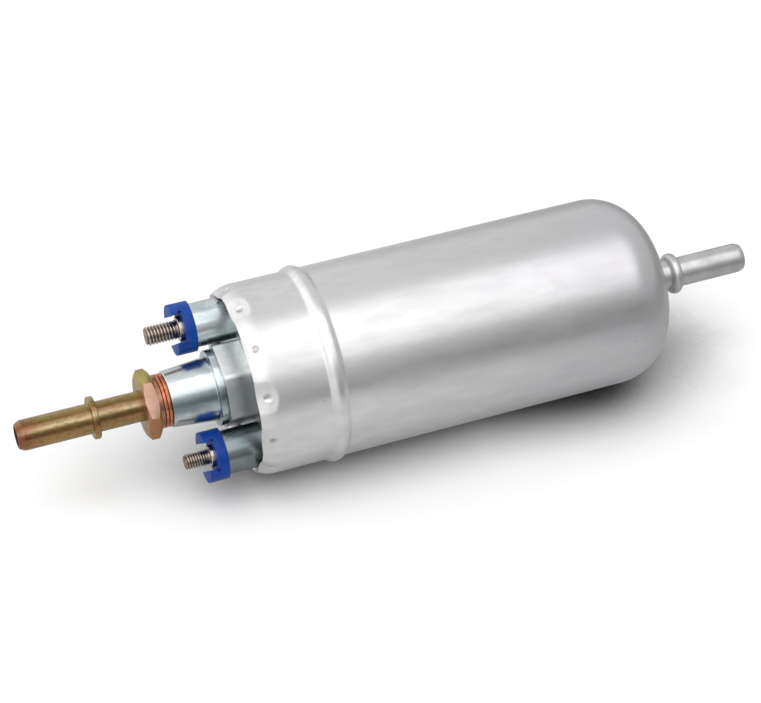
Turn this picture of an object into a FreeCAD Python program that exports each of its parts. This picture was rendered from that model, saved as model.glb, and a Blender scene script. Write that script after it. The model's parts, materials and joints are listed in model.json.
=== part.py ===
import FreeCAD, Part
import math
import os
from FreeCAD import Vector

# In-line electric diesel fuel pump, lying on its side, sizes in millimetres and degrees.
# X runs along the pump, +X towards the inlet in the domed end and -X towards the outlet.
# The origin is on the pump's axis, in the middle of the plain barrel where its band sits.
# An angle about the axis is counted from +Z towards -Y.

# The can
can_radius = 30.0
can_wall = 1.2
clamp_length = 93.2
ridge_width = 7.5
ridge_height = 1.2
neck_length = 16.3
lip_radius = 10.6
lip_angle = 33.0
knuckle_radius = 17.0
crown_radius = 84.0
dent_count = 12
dent_radius = 2.0
dent_depth = 0.7
dent_inset = 3.1

# Clearances between neighbours
slip_gap = 0.3
seat_gap = 0.05
running_gap = 0.03
rotor_gap = 0.06
edge_round = 0.4

# End cover, with the boss for the outlet and the towers for the terminals
cover_recess = 3.6
flange_thickness = 8.8
flange_clearance = 2.7
boss_across_flats = 24.0
boss_stand = 4.9
collar_length = 2.0
outlet_tower_length = 14.9
outlet_tower_root_radius = 10.0
outlet_tower_tip_radius = 8.8
outlet_stem_radius = 7.5
terminal_roll = -43.9
terminal_tower_radius = 6.9
terminal_tower_gap = 0.28
terminal_stand = 8.8
tower_foot_radius = 5.8
tower_foot_length = 4.0
terminal_bore_radius = 4.6
terminal_pocket_radius = 5.4
terminal_pocket_depth = 6.0
cover_seal_section = 1.05
seal_groove_depth = 2.0
seal_groove_inset = 2.3

# Blue insulators and the terminal studs
insulator_radius = 8.0
insulator_base = 3.0
claw_length = 3.2
lug_slot_width = 8.8
claw_undercut_width = 10.2
claw_undercut_height = 1.1
sleeve_wall_gap = 0.1
positive_stud_radius = 3.0
positive_thread_length = 10.1
negative_stud_radius = 2.5
negative_thread_length = 7.8
stud_chamfer = 0.5
stud_collar_step = 1.0
stud_collar_height = 1.4
stud_head_thickness = 2.6
terminal_seal_thickness = 2.8

# Outlet fitting and its sealing washers
fitting_across_flats = 19.1
fitting_hex_thickness = 4.1
fitting_pad_length = 1.5
fitting_thread_radius = 6.0
fitting_thread_length = 10.5
washer_radius = 8.4
washer_thickness = 1.1
washer_count = 2
hose_radius = 4.745
hose_bead_radius = 6.65
outlet_hose_length = 39.0
outlet_bead_from_hex = 14.1
outlet_bead_width = 2.0
outlet_bore_radius = 3.0
outlet_tip_length = 1.8
outlet_tip_drop = 0.9

# Inlet spigot in the dome
inlet_bead_from_dome = 5.7
inlet_bead_width = 3.8
inlet_hose_length = 22.7
inlet_tip_round = 1.7
inlet_bore_radius = 3.4
inlet_flange_radius = 9.0
inlet_flange_thickness = 2.0
inlet_seal_thickness = 1.2
inlet_swage_radius = 6.3
inlet_swage_thickness = 1.2

# Check valve in the outlet tower
valve_bore_radius = 5.0
valve_back_radius = 10.0
valve_back_depth = 4.0
valve_seat_thickness = 4.0
valve_port_radius = 2.4
valve_head_radius = 4.2
valve_head_thickness = 1.5
valve_nose_radius = 2.1
valve_nose_length = 2.0
valve_stem_radius = 1.2
valve_stem_overrun = 1.0
guide_thickness = 2.5
guide_port_radius = 0.9
guide_port_count = 4

# Stack inside the can
holder_thickness = 6.0
plate_thickness = 6.0
rotor_width = 10.0
suction_thickness = 8.0
stack_margin = 0.6
tube_wall = 1.8
magnet_thickness = 6.4
magnet_span = 146.0
magnet_overhang = 6.0
clip_wall = 1.0
clip_leg = 3.6
air_gap = 0.7
shaft_radius = 4.0
shaft_flat_distance = 3.2
bush_wall = 2.0
bush_length = 6.6

# Internal gear pump, the inner gear turning the outer one
inner_lobes = 6
eccentricity_ratio = 0.103
lobe_radius_ratio = 0.3147
outer_rotor_rim = 3.4
gear_housing_wall = 1.5
points_per_lobe = 24
port_inset = 0.6
port_outreach = 1.0
port_span = 142.0

# Relief valve, screws and strainer
relief_edge = 5.0
relief_bore_radius = 2.6
relief_port_radius = 1.5
relief_ball_radius = 2.3
relief_plug_thickness = 2.5
relief_drain_radius = 1.0
screw_edge = 3.9
screw_count = 4
screw_radius = 2.0
screw_head_radius = 3.4
screw_head_height = 3.0
screw_clearance = 0.2
socket_across_flats = 3.0
socket_depth = 1.6
support_ring_width = 4.2
support_ring_wall = 2.6
strainer_margin = 1.4
strainer_rim = 2.0
strainer_wall = 1.0
strainer_height = 10.0
strainer_windows = 8
strainer_window_span = 32.0

# Armature
core_slots = 10
core_slot_width = 3.6
core_slot_floor = 10.0
core_slot_roof = 2.0
core_slot_mouth = 1.6
winding_gap = 0.12
winding_overhang = 7.5
winding_outer_inset = 2.2
winding_inner_radius = 6.4
winding_shoulder = 2.4
commutator_radius = 9.0
commutator_length = 10.0
commutator_bar_depth = 2.8
commutator_slit = 0.6
commutator_to_winding = 2.0
thrust_washer_thickness = 0.9
thrust_washer_radius = 7.4
spacer_length = 5.4
spacer_wall = 2.2
hub_stand = 1.5
hub_radius = 8.4

# Brushes and what holds them
brush_width = 6.8
brush_thickness = 6.0
brush_length = 10.0
brush_gap = 0.1
brush_box_wall = 1.4
brush_box_inner_radius = 11.0
brush_cap_thickness = 0.9
choke_inset = 4.9
choke_radius = 2.8
choke_core_radius = 1.5
choke_length = 11.0
choke_stub = 1.2
flow_hole_radius = 2.4
flow_hole_inset = 3.5
flow_hole_count = 4

# Springs, wire radius and number of turns
check_spring_wire = 0.35
check_spring_radius = 2.7
check_spring_turns = 6
relief_spring_wire = 0.3
relief_spring_radius = 1.9
relief_spring_turns = 5
brush_spring_wire = 0.3
brush_spring_radius = 2.1
brush_spring_turns = 4
wire_sides = 5
sections_per_turn = 9

# Places and radii worked out from the sizes above
full_turn = 360.0
half_turn = 180.0
clamp_start_x = -clamp_length / 2
dome_start_x = clamp_length / 2
ridge_start_x = clamp_start_x - ridge_width
lip_start_x = ridge_start_x - neck_length
mouth_x = lip_start_x - lip_radius * math.sin(math.radians(lip_angle))
bore_radius = can_radius - can_wall
mouth_bore_radius = (can_radius - lip_radius
                     + (lip_radius - can_wall) * math.cos(math.radians(lip_angle)))
crown_centre_x = dome_start_x - math.sqrt((crown_radius - knuckle_radius) ** 2
                                          - (can_radius - knuckle_radius) ** 2)
apex_x = crown_centre_x + crown_radius

dent_x = mouth_x + dent_inset
dent_lean = math.degrees(math.asin((lip_start_x - dent_x) / lip_radius))
dent_reach = lip_radius + dent_radius - dent_depth
dent_half_width = math.sqrt(dent_radius ** 2 - (dent_radius - dent_depth) ** 2)
cover_face_x = mouth_x + cover_recess
flange_front_x = dent_x + dent_half_width + flange_clearance
cover_back_x = flange_front_x + flange_thickness
stack_radius = bore_radius - slip_gap
plateau_radius = mouth_bore_radius - seat_gap
terminal_offset = mouth_bore_radius - terminal_tower_gap - terminal_tower_radius
terminal_face_x = mouth_x - terminal_stand
boss_front_x = mouth_x - boss_stand
collar_front_x = boss_front_x - collar_length
outlet_tower_tip_x = collar_front_x - outlet_tower_length
boss_collar_radius = boss_across_flats / 2 - seat_gap

washers_start_x = outlet_tower_tip_x - washer_count * (washer_thickness + seat_gap)
fitting_back_x = washers_start_x - seat_gap - fitting_pad_length
fitting_front_x = fitting_back_x - fitting_hex_thickness
outlet_tip_x = fitting_front_x - outlet_hose_length
outlet_bead_x = fitting_front_x - outlet_bead_from_hex
thread_end_x = outlet_tower_tip_x + fitting_thread_length

inlet_bead_x = apex_x + inlet_bead_from_dome
inlet_tip_x = inlet_bead_x + inlet_bead_width + inlet_hose_length

valve_seat_back_x = cover_back_x - valve_back_depth
valve_seat_x = valve_seat_back_x - valve_seat_thickness
valve_head_front_x = valve_seat_x - valve_head_thickness
guide_start_x = thread_end_x
guide_end_x = guide_start_x + guide_thickness

holder_front_x = cover_back_x + holder_thickness
suction_front_x = dome_start_x - stack_margin
suction_back_x = suction_front_x - suction_thickness
plate_front_x = suction_back_x - rotor_width
plate_back_x = plate_front_x - plate_thickness
tube_inner_radius = stack_radius - tube_wall
magnet_outer_radius = tube_inner_radius - seat_gap
magnet_inner_radius = magnet_outer_radius - magnet_thickness
core_radius = magnet_inner_radius - air_gap
bush_outer_radius = shaft_radius + running_gap + bush_wall

hub_end_x = holder_front_x + hub_stand
commutator_start_x = hub_end_x + thrust_washer_thickness + 2 * running_gap
commutator_end_x = commutator_start_x + commutator_length
winding_start_x = commutator_end_x + commutator_to_winding
core_start_x = winding_start_x + winding_overhang
front_washer_x = plate_back_x - thrust_washer_thickness - running_gap
winding_end_x = front_washer_x - running_gap - spacer_length
core_end_x = winding_end_x - winding_overhang
bar_inner_radius = commutator_radius - commutator_bar_depth
shaft_start_x = holder_front_x - bush_length
shaft_end_x = suction_back_x - 2 * rotor_gap

screw_circle_radius = stack_radius - screw_edge
screw_hole_radius = screw_radius + screw_clearance
outer_lobes = inner_lobes + 1
lobe_circle_radius = ((screw_circle_radius - screw_hole_radius - gear_housing_wall
                       - outer_rotor_rim - 2 * rotor_gap)
                      / (1 + 3 * eccentricity_ratio - lobe_radius_ratio))
eccentricity = lobe_circle_radius * eccentricity_ratio
lobe_radius = lobe_circle_radius * lobe_radius_ratio
root_circle_radius = lobe_circle_radius + 2 * eccentricity - lobe_radius + rotor_gap
outer_rotor_radius = root_circle_radius + outer_rotor_rim
port_inner_radius = lobe_circle_radius - lobe_radius - eccentricity + port_inset
port_outer_radius = lobe_circle_radius - lobe_radius + eccentricity + port_outreach
relief_offset = stack_radius - relief_edge
relief_angle = half_turn
ball_seat_x = plate_front_x
ball_x = ball_seat_x + math.sqrt(relief_ball_radius ** 2 - relief_port_radius ** 2)
relief_plug_x = suction_front_x - relief_plug_thickness
strainer_radius = relief_offset - relief_bore_radius - strainer_margin - strainer_rim

brush_start_x = (commutator_start_x + commutator_end_x - brush_width) / 2
brush_end_x = brush_start_x + brush_width
brush_inner_radius = commutator_radius + seat_gap
brush_outer_radius = brush_inner_radius + brush_length
box_outer_radius = tube_inner_radius - slip_gap
brush_cap_radius = box_outer_radius - brush_cap_thickness
choke_circle_radius = tube_inner_radius - choke_inset - choke_radius
flow_hole_circle = choke_circle_radius - flow_hole_inset

AXIS = Vector(1, 0, 0)
OUTWARD = Vector(0, 0, 1)
SIDEWAYS = Vector(0, 1, 0)


class Outline:
    """A closed outline of points (x, radius), turned about the pump's axis."""

    def __init__(self, x, radius):
        self.start = self.last = Vector(x, 0, radius)
        self.edges = []

    def line(self, x, radius):
        point = Vector(x, 0, radius)
        self.edges.append(Part.makeLine(self.last, point))
        self.last = point
        return self

    def arc(self, centre_x, centre_radius, radius, from_angle, to_angle):
        """An arc about a centre, with angles counted from +X towards a larger radius."""
        points = []
        for angle in (from_angle, (from_angle + to_angle) / 2, to_angle):
            turn = math.radians(angle)
            points.append(Vector(centre_x + radius * math.cos(turn), 0,
                                 centre_radius + radius * math.sin(turn)))
        if (points[0] - self.last).Length > 1e-6:
            self.line(points[0].x, points[0].z)
        self.edges.append(Part.Arc(*points).toShape())
        self.last = points[-1]
        return self

    def turned(self):
        if (self.start - self.last).Length > 1e-6:
            self.line(self.start.x, self.start.z)
        face = Part.Face(Part.Wire(self.edges))
        return face.revolve(Vector(0, 0, 0), AXIS, full_turn)


def rod(start_x, end_x, radius, offset=0.0, angle=0.0):
    """A round rod along X, standing off the pump's axis by offset at an angle."""
    foot = around(Vector(start_x, 0, offset), angle)
    return Part.makeCylinder(radius, end_x - start_x, foot, AXIS)


def tube(start_x, end_x, outer_radius, inner_radius, offset=0.0, angle=0.0):
    outer = rod(start_x, end_x, outer_radius, offset, angle)
    return outer.cut(rod(start_x, end_x, inner_radius, offset, angle))


def around(point, angle):
    turn = math.radians(angle)
    y, z = point.y, point.z
    return Vector(point.x, y * math.cos(turn) - z * math.sin(turn),
                  y * math.sin(turn) + z * math.cos(turn))


def rolled(shape, angle):
    turned = shape.copy()
    turned.rotate(Vector(0, 0, 0), AXIS, angle)
    return turned


def sector(start_x, end_x, inner_radius, outer_radius, middle_angle, span):
    """Part of a ring: a rectangle of the (x, radius) plane swept through span degrees."""
    corners = [Vector(start_x, 0, inner_radius), Vector(end_x, 0, inner_radius),
               Vector(end_x, 0, outer_radius), Vector(start_x, 0, outer_radius)]
    face = Part.Face(Part.makePolygon(corners + corners[:1]))
    face.rotate(Vector(0, 0, 0), AXIS, middle_angle - span / 2)
    return face.revolve(Vector(0, 0, 0), AXIS, span)


def block(start_x, end_x, half_width, inner_radius, outer_radius):
    """A straight-sided block that reaches out from the axis along +Z."""
    return Part.makeBox(end_x - start_x, 2 * half_width, outer_radius - inner_radius,
                        Vector(start_x, -half_width, inner_radius))


def hexagon(start_x, end_x, across_flats, flat_angle, offset=0.0, angle=0.0):
    """A hexagonal bar along X, with one flat facing flat_angle."""
    corner_radius = across_flats / 2 / math.cos(math.pi / 6)
    corners = []
    for k in range(6):
        corner = around(Vector(start_x, 0, corner_radius), flat_angle + 30 + 60 * k)
        corners.append(corner + around(Vector(0, 0, offset), angle))
    face = Part.Face(Part.makePolygon(corners + corners[:1]))
    return face.extrude(Vector(end_x - start_x, 0, 0))


def coil_spring(radius, wire_radius, length, turns):
    """An open helical spring along +X from the origin, with straight-sided wire."""
    sector_area = wire_sides * math.sin(2 * math.pi / wire_sides) / 2
    corner_radius = wire_radius * math.sqrt(math.pi / sector_area)
    free = length - 2 * corner_radius
    rings = []
    for step in range(turns * sections_per_turn + 1):
        share = step / (turns * sections_per_turn)
        outward = around(OUTWARD, full_turn * turns * share)
        centre = AXIS * (corner_radius + free * share) + outward * radius
        ring = []
        for k in range(wire_sides):
            turn = 2 * math.pi * k / wire_sides
            ring.append(centre + (outward * math.cos(turn) + AXIS * math.sin(turn)) * corner_radius)
        rings.append(Part.makePolygon(ring + ring[:1]))
    return Part.makeLoft(rings, True, True)


def cut_all(shape, tools):
    for tool in tools:
        shape = shape.cut(tool)
    return shape


def fused(shapes):
    joined = shapes[0]
    for shape in shapes[1:]:
        joined = joined.fuse(shape)
    return joined.removeSplitter()


# The can and its inlet

def can_outline(offset):
    """The can's profile, moved inwards by offset, from the mouth to the dome's middle."""
    lip = lip_radius - offset
    knuckle = knuckle_radius - offset
    crown = crown_radius - offset
    lean = math.degrees(math.atan2(can_radius - knuckle_radius, dome_start_x - crown_centre_x))
    radius = can_radius - offset
    rise = (ridge_width ** 2 / 4 + ridge_height ** 2) / (2 * ridge_height)
    reach = math.degrees(math.asin(ridge_width / 2 / rise))
    ridge_x = ridge_start_x + ridge_width / 2
    lip_centre = can_radius - lip_radius
    start = math.radians(90 + lip_angle)
    outline = Outline(lip_start_x + lip * math.cos(start), lip_centre + lip * math.sin(start))
    outline.arc(lip_start_x, lip_centre, lip, 90 + lip_angle, 90)
    outline.line(ridge_start_x, radius)
    outline.arc(ridge_x, radius + ridge_height - rise, rise, 90 + reach, 90 - reach)
    outline.line(dome_start_x, radius)
    outline.arc(dome_start_x, can_radius - knuckle_radius, knuckle, 90, lean)
    outline.arc(crown_centre_x, 0, crown, lean, 0)
    return outline


def housing_can():
    outer = can_outline(0).line(mouth_x, 0).turned()
    inner_start = lip_start_x - (lip_radius - can_wall) * math.sin(math.radians(lip_angle))
    inner = can_outline(can_wall).line(inner_start, 0).turned()
    mouth = Outline(mouth_x - can_wall, 0).line(mouth_x - can_wall, mouth_lip_radius())
    mouth = mouth.line(mouth_x, mouth_lip_radius()).line(inner_start, mouth_bore_radius)
    mouth = mouth.line(inner_start, 0).turned()
    can = cut_all(outer, [inner, mouth, rod(apex_x - knuckle_radius, apex_x + can_wall,
                                            hose_radius + seat_gap)])
    return cut_all(can, [dent(k) for k in range(dent_count)])


def mouth_lip_radius():
    return can_radius - lip_radius * (1 - math.cos(math.radians(lip_angle)))


def dent(index):
    """A stake mark, pressed square into the lip's curve."""
    lean = math.radians(dent_lean)
    centre = Vector(lip_start_x - dent_reach * math.sin(lean), 0,
                    can_radius - lip_radius + dent_reach * math.cos(lean))
    return Part.makeSphere(dent_radius, around(centre, full_turn * index / dent_count))


def inner_dome_x(radius):
    """Where the dome's inner face stands at a radius near the middle."""
    return crown_centre_x + math.sqrt((crown_radius - can_wall) ** 2 - radius ** 2)


def inlet_seal_front_x():
    return inner_dome_x(inlet_flange_radius) - seat_gap


def inlet_flange_x():
    return inlet_seal_front_x() - inlet_seal_thickness - seat_gap - inlet_flange_thickness


def inlet_spigot():
    flange_x = inlet_flange_x()
    tip_x = inlet_tip_x
    bead = inlet_bead_width / 2
    crest = hose_bead_radius - bead
    swage_x = apex_x + seat_gap
    outline = Outline(flange_x, inlet_bore_radius).line(flange_x, inlet_flange_radius)
    outline.line(flange_x + inlet_flange_thickness, inlet_flange_radius)
    outline.line(flange_x + inlet_flange_thickness, hose_radius)
    outline.line(swage_x, hose_radius).line(swage_x, inlet_swage_radius)
    outline.line(swage_x + inlet_swage_thickness, inlet_swage_radius)
    outline.line(swage_x + inlet_swage_thickness, hose_radius)
    outline.line(inlet_bead_x, hose_radius).line(inlet_bead_x, crest)
    outline.arc(inlet_bead_x + bead, crest, bead, 180, 0)
    outline.line(inlet_bead_x + inlet_bead_width, hose_radius)
    outline.line(tip_x - inlet_tip_round, hose_radius)
    hook = min(inlet_tip_round, hose_radius - inlet_bore_radius - seat_gap)
    outline.line(tip_x - hook, hose_radius)
    outline.arc(tip_x - hook, hose_radius - hook, hook, 90, 0)
    outline.line(tip_x, inlet_bore_radius)
    return outline.turned()


def inlet_seal():
    front_x = inlet_seal_front_x()
    return tube(front_x - inlet_seal_thickness, front_x, inlet_flange_radius, hose_radius + seat_gap)


def inlet_strainer():
    """A cup with windows over the suction port, its rim on the suction cover."""
    rim_radius = strainer_radius + strainer_rim
    top_x = suction_front_x + strainer_height
    cup = rod(suction_front_x, top_x, strainer_radius)
    cup = cup.fuse(rod(suction_front_x, suction_front_x + strainer_wall, rim_radius))
    cup = cup.cut(rod(suction_front_x, top_x - strainer_wall, strainer_radius - strainer_wall))
    windows = []
    for k in range(strainer_windows):
        windows.append(sector(suction_front_x + 2 * strainer_wall, top_x - 2 * strainer_wall,
                              strainer_radius - 2 * strainer_wall, strainer_radius + strainer_wall,
                              full_turn * k / strainer_windows, strainer_window_span))
    return cut_all(cup, windows)


def support_ring():
    """The ring between the pump stack and the dome's knuckle."""
    outer = stack_radius
    room = math.sqrt((knuckle_radius - can_wall) ** 2
                     - (outer - can_radius + knuckle_radius) ** 2)
    width = min(support_ring_width, stack_margin + room - seat_gap)
    return tube(suction_front_x, suction_front_x + width, outer, outer - support_ring_wall)


# The internal gear pump

def stack_disc(start_x, end_x):
    return rod(start_x, end_x, stack_radius)


def screw_angles():
    return [full_turn * (k + 0.5) / screw_count for k in range(screw_count)]


def screw_holes(start_x, end_x, radius):
    return [rod(start_x, end_x, radius, screw_circle_radius, angle) for angle in screw_angles()]


def port(start_x, end_x, middle_angle):
    """A kidney port, on the side of the gears where their pockets open or close."""
    kidney = sector(start_x, end_x, port_inner_radius, port_outer_radius, middle_angle, port_span)
    middle = (port_inner_radius + port_outer_radius) / 2
    ends = [rod(start_x, end_x, (port_outer_radius - port_inner_radius) / 2, middle,
                middle_angle + side * port_span / 2) for side in (-1, 1)]
    return fused([kidney] + ends)


def suction_cover():
    head_x = suction_front_x - screw_head_height - screw_clearance
    holes = screw_holes(suction_back_x, suction_front_x, screw_hole_radius)
    holes += screw_holes(head_x, suction_front_x, screw_head_radius + screw_clearance)
    holes.append(port(suction_back_x, suction_front_x, 90))
    holes.append(rod(suction_back_x, suction_front_x, relief_bore_radius, relief_offset, relief_angle))
    return cut_all(stack_disc(suction_back_x, suction_front_x), holes)


def gear_housing():
    holes = screw_holes(plate_front_x, suction_back_x, screw_hole_radius)
    holes.append(rod(plate_front_x, suction_back_x, outer_rotor_radius + rotor_gap, eccentricity))
    holes.append(rod(plate_front_x, suction_back_x, relief_bore_radius, relief_offset, relief_angle))
    return cut_all(stack_disc(plate_front_x, suction_back_x), holes)


def pressure_plate():
    holes = screw_holes(plate_back_x, plate_front_x, screw_radius + seat_gap)
    holes.append(rod(plate_back_x, plate_front_x, bush_outer_radius))
    holes.append(port(plate_back_x, plate_front_x, -90))
    holes.append(rod(plate_back_x, plate_front_x, relief_port_radius, relief_offset, relief_angle))
    return cut_all(stack_disc(plate_back_x, plate_front_x), holes)


def lobe_path(turn):
    """Where an outer lobe's centre passes the inner gear, as seen from the inner gear."""
    angle = 2 * math.pi * turn
    wide = outer_lobes * angle
    point = Vector(0, -lobe_circle_radius * math.sin(angle) - eccentricity * math.sin(wide),
                   lobe_circle_radius * math.cos(angle) + eccentricity * math.cos(wide))
    along = Vector(0, -lobe_circle_radius * math.cos(angle)
                   - eccentricity * outer_lobes * math.cos(wide),
                   -lobe_circle_radius * math.sin(angle)
                   - eccentricity * outer_lobes * math.sin(wide))
    return point, along.normalize()


def inner_rotor():
    """Lobes that stay in touch with every outer lobe: the path moved in by a lobe's radius."""
    points = []
    count = inner_lobes * points_per_lobe
    for step in range(count):
        point, along = lobe_path(step / count)
        inward = along.cross(AXIS)
        if inward.dot(point) > 0:
            inward = inward * -1
        points.append(point + inward * lobe_radius + AXIS * (plate_front_x + rotor_gap))
    arcs = []
    for k in range(0, count, 2):
        arcs.append(Part.Arc(points[k], points[k + 1], points[(k + 2) % count]).toShape())
    gear = Part.Face(Part.Wire(arcs)).extrude(AXIS * (rotor_width - 2 * rotor_gap))
    return gear.cut(shaft_blank(plate_front_x, suction_back_x, running_gap))


def outer_rotor():
    """A ring with round lobes, in mesh with the inner gear on the upper side."""
    start_x = plate_front_x + rotor_gap
    end_x = suction_back_x - rotor_gap
    ring = tube(start_x, end_x, outer_rotor_radius, root_circle_radius)
    rim = rod(start_x, end_x, outer_rotor_radius)
    pieces = [ring]
    for k in range(outer_lobes):
        lobe = rod(start_x, end_x, lobe_radius - rotor_gap, lobe_circle_radius,
                   full_turn * k / outer_lobes)
        pieces.append(lobe.common(rim))
    gear = fused(pieces)
    gear.translate(Vector(0, 0, eccentricity))
    return gear


def pump_screws():
    head_x = suction_front_x - screw_clearance - screw_head_height
    screws = []
    for angle in screw_angles():
        shank = rod(plate_back_x + seat_gap, head_x, screw_radius, screw_circle_radius, angle)
        head = rod(head_x, head_x + screw_head_height, screw_head_radius, screw_circle_radius, angle)
        socket = hexagon(head_x + screw_head_height - socket_depth, head_x + screw_head_height,
                         socket_across_flats, angle, screw_circle_radius, angle)
        screws.append(shank.fuse(head).removeSplitter().cut(socket))
    return screws


def relief_ball():
    centre = around(Vector(ball_x, 0, relief_offset), relief_angle)
    return Part.makeSphere(relief_ball_radius - running_gap, centre)


def relief_spring():
    start_x = ball_x + relief_ball_radius
    spring = coil_spring(relief_spring_radius, relief_spring_wire,
                         relief_plug_x - start_x, relief_spring_turns)
    spring.translate(around(Vector(start_x, 0, relief_offset), relief_angle))
    return spring


def relief_plug():
    return tube(relief_plug_x, suction_front_x, relief_bore_radius - running_gap,
                relief_drain_radius, relief_offset, relief_angle)


# The motor

def shaft_blank(start_x, end_x, gap=0.0):
    """The shaft's end with its two flats, grown by a gap where it is a hole."""
    flats = block(start_x, end_x, shaft_radius + 1, -shaft_flat_distance - gap,
                  shaft_flat_distance + gap)
    return rod(start_x, end_x, shaft_radius + gap).common(flats)


def armature_shaft():
    flats_x = plate_front_x + rotor_gap
    plain = rod(shaft_start_x, flats_x, shaft_radius)
    return plain.fuse(shaft_blank(flats_x, shaft_end_x)).removeSplitter()


def slot_angles():
    return [full_turn * (k + 0.5) / core_slots for k in range(core_slots)]


def core_slot(gap):
    """The room for a coil side in the core, open to the air gap through a narrow mouth."""
    half = core_slot_width / 2 - gap
    return block(core_start_x, core_end_x, half, core_slot_floor + gap,
                 core_radius - core_slot_roof - gap)


def armature_core():
    mouth = block(core_start_x, core_end_x, core_slot_mouth / 2, core_slot_floor, core_radius + 1)
    slot = core_slot(0).fuse(mouth)
    core = tube(core_start_x, core_end_x, core_radius, shaft_radius + seat_gap)
    return cut_all(core, [rolled(slot, angle) for angle in slot_angles()])


def end_turns(start_x, end_x):
    """The ring of wire that loops over one end of the core, with sloping shoulders."""
    outer = core_radius - winding_outer_inset
    inner = winding_inner_radius
    slope = winding_shoulder
    outline = Outline(start_x + slope, inner).line(start_x, inner + slope)
    outline.line(start_x, outer - slope).line(start_x + slope, outer)
    outline.line(end_x - slope, outer).line(end_x, outer - slope)
    outline.line(end_x, inner + slope).line(end_x - slope, inner)
    return outline.turned()


def armature_winding():
    pieces = [end_turns(winding_start_x, core_start_x - winding_gap),
              end_turns(core_end_x + winding_gap, winding_end_x)]
    for angle in slot_angles():
        side = block(core_start_x - winding_shoulder, core_end_x + winding_shoulder,
                     core_slot_width / 2 - winding_gap, core_slot_floor + winding_gap,
                     core_radius - core_slot_roof - winding_shoulder)
        pieces.append(rolled(side, angle))
    return fused(pieces)


def commutator_bars():
    span = full_turn / core_slots
    gap = math.degrees(commutator_slit / commutator_radius)
    return [sector(commutator_start_x, commutator_end_x, bar_inner_radius, commutator_radius,
                   span * (k + 0.5), span - gap) for k in range(core_slots)]


def commutator_hub():
    return tube(commutator_start_x, commutator_end_x, bar_inner_radius, shaft_radius + seat_gap)


def thrust_washers():
    starts = [hub_end_x + running_gap, front_washer_x]
    return [tube(x, x + thrust_washer_thickness, thrust_washer_radius, shaft_radius + running_gap)
            for x in starts]


def shaft_spacer():
    return tube(winding_end_x, winding_end_x + spacer_length,
                shaft_radius + running_gap + spacer_wall, shaft_radius + running_gap)


def front_bush():
    return tube(plate_back_x, plate_front_x, bush_outer_radius, shaft_radius + running_gap)


def rear_bush():
    return tube(hub_end_x - bush_length, hub_end_x, bush_outer_radius, shaft_radius + running_gap)


def flux_tube():
    return tube(holder_front_x, plate_back_x, stack_radius, tube_inner_radius)


def magnet(side):
    start_x = core_start_x - magnet_overhang
    end_x = core_end_x + magnet_overhang
    return sector(start_x, end_x, magnet_inner_radius, magnet_outer_radius,
                  terminal_roll + side * 90, magnet_span)


def magnet_clips():
    """Spring strips that wedge the two magnets apart against the flux tube."""
    start_x = core_start_x - magnet_overhang
    end_x = core_end_x + magnet_overhang
    gap = math.degrees(seat_gap / magnet_outer_radius)
    span = (full_turn - 2 * magnet_span) / 2 - 2 * gap
    leg_span = math.degrees(clip_wall / magnet_inner_radius)
    clips = []
    for side in (0, half_turn):
        middle = terminal_roll + side
        strip = sector(start_x, end_x, magnet_outer_radius - clip_wall, magnet_outer_radius,
                       middle, span)
        legs = [sector(start_x, end_x, magnet_outer_radius - clip_leg, magnet_outer_radius,
                       middle + hand * (span - leg_span) / 2, leg_span) for hand in (-1, 1)]
        clips.append(fused([strip] + legs))
    return clips


def brush_box_half_width():
    return brush_thickness / 2 + brush_gap + brush_box_wall


def box_room():
    """The round room inside the flux tube that the brush boxes have to stay in."""
    return rod(holder_front_x, core_start_x, box_outer_radius)


def brush_holder():
    """The moulded plate between cover and motor, with its bush seat and brush boxes."""
    disc = rod(cover_back_x, holder_front_x, stack_radius)
    hub = rod(holder_front_x, hub_end_x, hub_radius)
    boxes = []
    channels = []
    for side in (0, half_turn):
        wall = block(holder_front_x, brush_end_x + brush_gap + brush_box_wall,
                     brush_box_half_width(), brush_box_inner_radius, box_outer_radius)
        hollow = block(brush_start_x - brush_gap, brush_end_x + brush_gap,
                       brush_thickness / 2 + brush_gap, 0, bore_radius)
        boxes.append(rolled(wall.common(box_room()), terminal_roll + side))
        channels.append(rolled(hollow, terminal_roll + side))
    holder = fused([disc, hub] + boxes)
    channels.append(rod(cover_back_x, hub_end_x, bush_outer_radius))
    for k in range(flow_hole_count):
        angle = terminal_roll + full_turn * (k + 0.5) / flow_hole_count
        channels.append(rod(cover_back_x, holder_front_x, flow_hole_radius, flow_hole_circle, angle))
    for side in (-90, 90):
        channels.append(rod(holder_front_x - choke_stub - seat_gap, holder_front_x,
                            choke_core_radius + seat_gap, choke_circle_radius,
                            terminal_roll + side))
    for side in (0, half_turn):
        channels.append(rod(cover_back_x, cover_back_x + choke_stub, terminal_bore_radius,
                            terminal_offset, terminal_roll + side))
    return cut_all(holder, channels)


def brush(side):
    """A carbon block whose inner end is hollowed to the commutator's curve."""
    body = block(brush_start_x, brush_end_x, brush_thickness / 2, 0, brush_outer_radius)
    body = body.cut(rod(brush_start_x, brush_end_x, brush_inner_radius))
    return rolled(body, terminal_roll + side)


def brush_spring(side):
    spring = coil_spring(brush_spring_radius, brush_spring_wire,
                         brush_cap_radius - brush_outer_radius, brush_spring_turns)
    spring.rotate(Vector(0, 0, 0), SIDEWAYS, -90)
    spring.translate(Vector((brush_start_x + brush_end_x) / 2, 0, brush_outer_radius))
    return rolled(spring, terminal_roll + side)


def brush_caps():
    cap = block(brush_start_x, brush_end_x, brush_thickness / 2, brush_cap_radius, box_outer_radius)
    return [rolled(cap.common(box_room()), terminal_roll + side) for side in (0, half_turn)]


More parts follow.
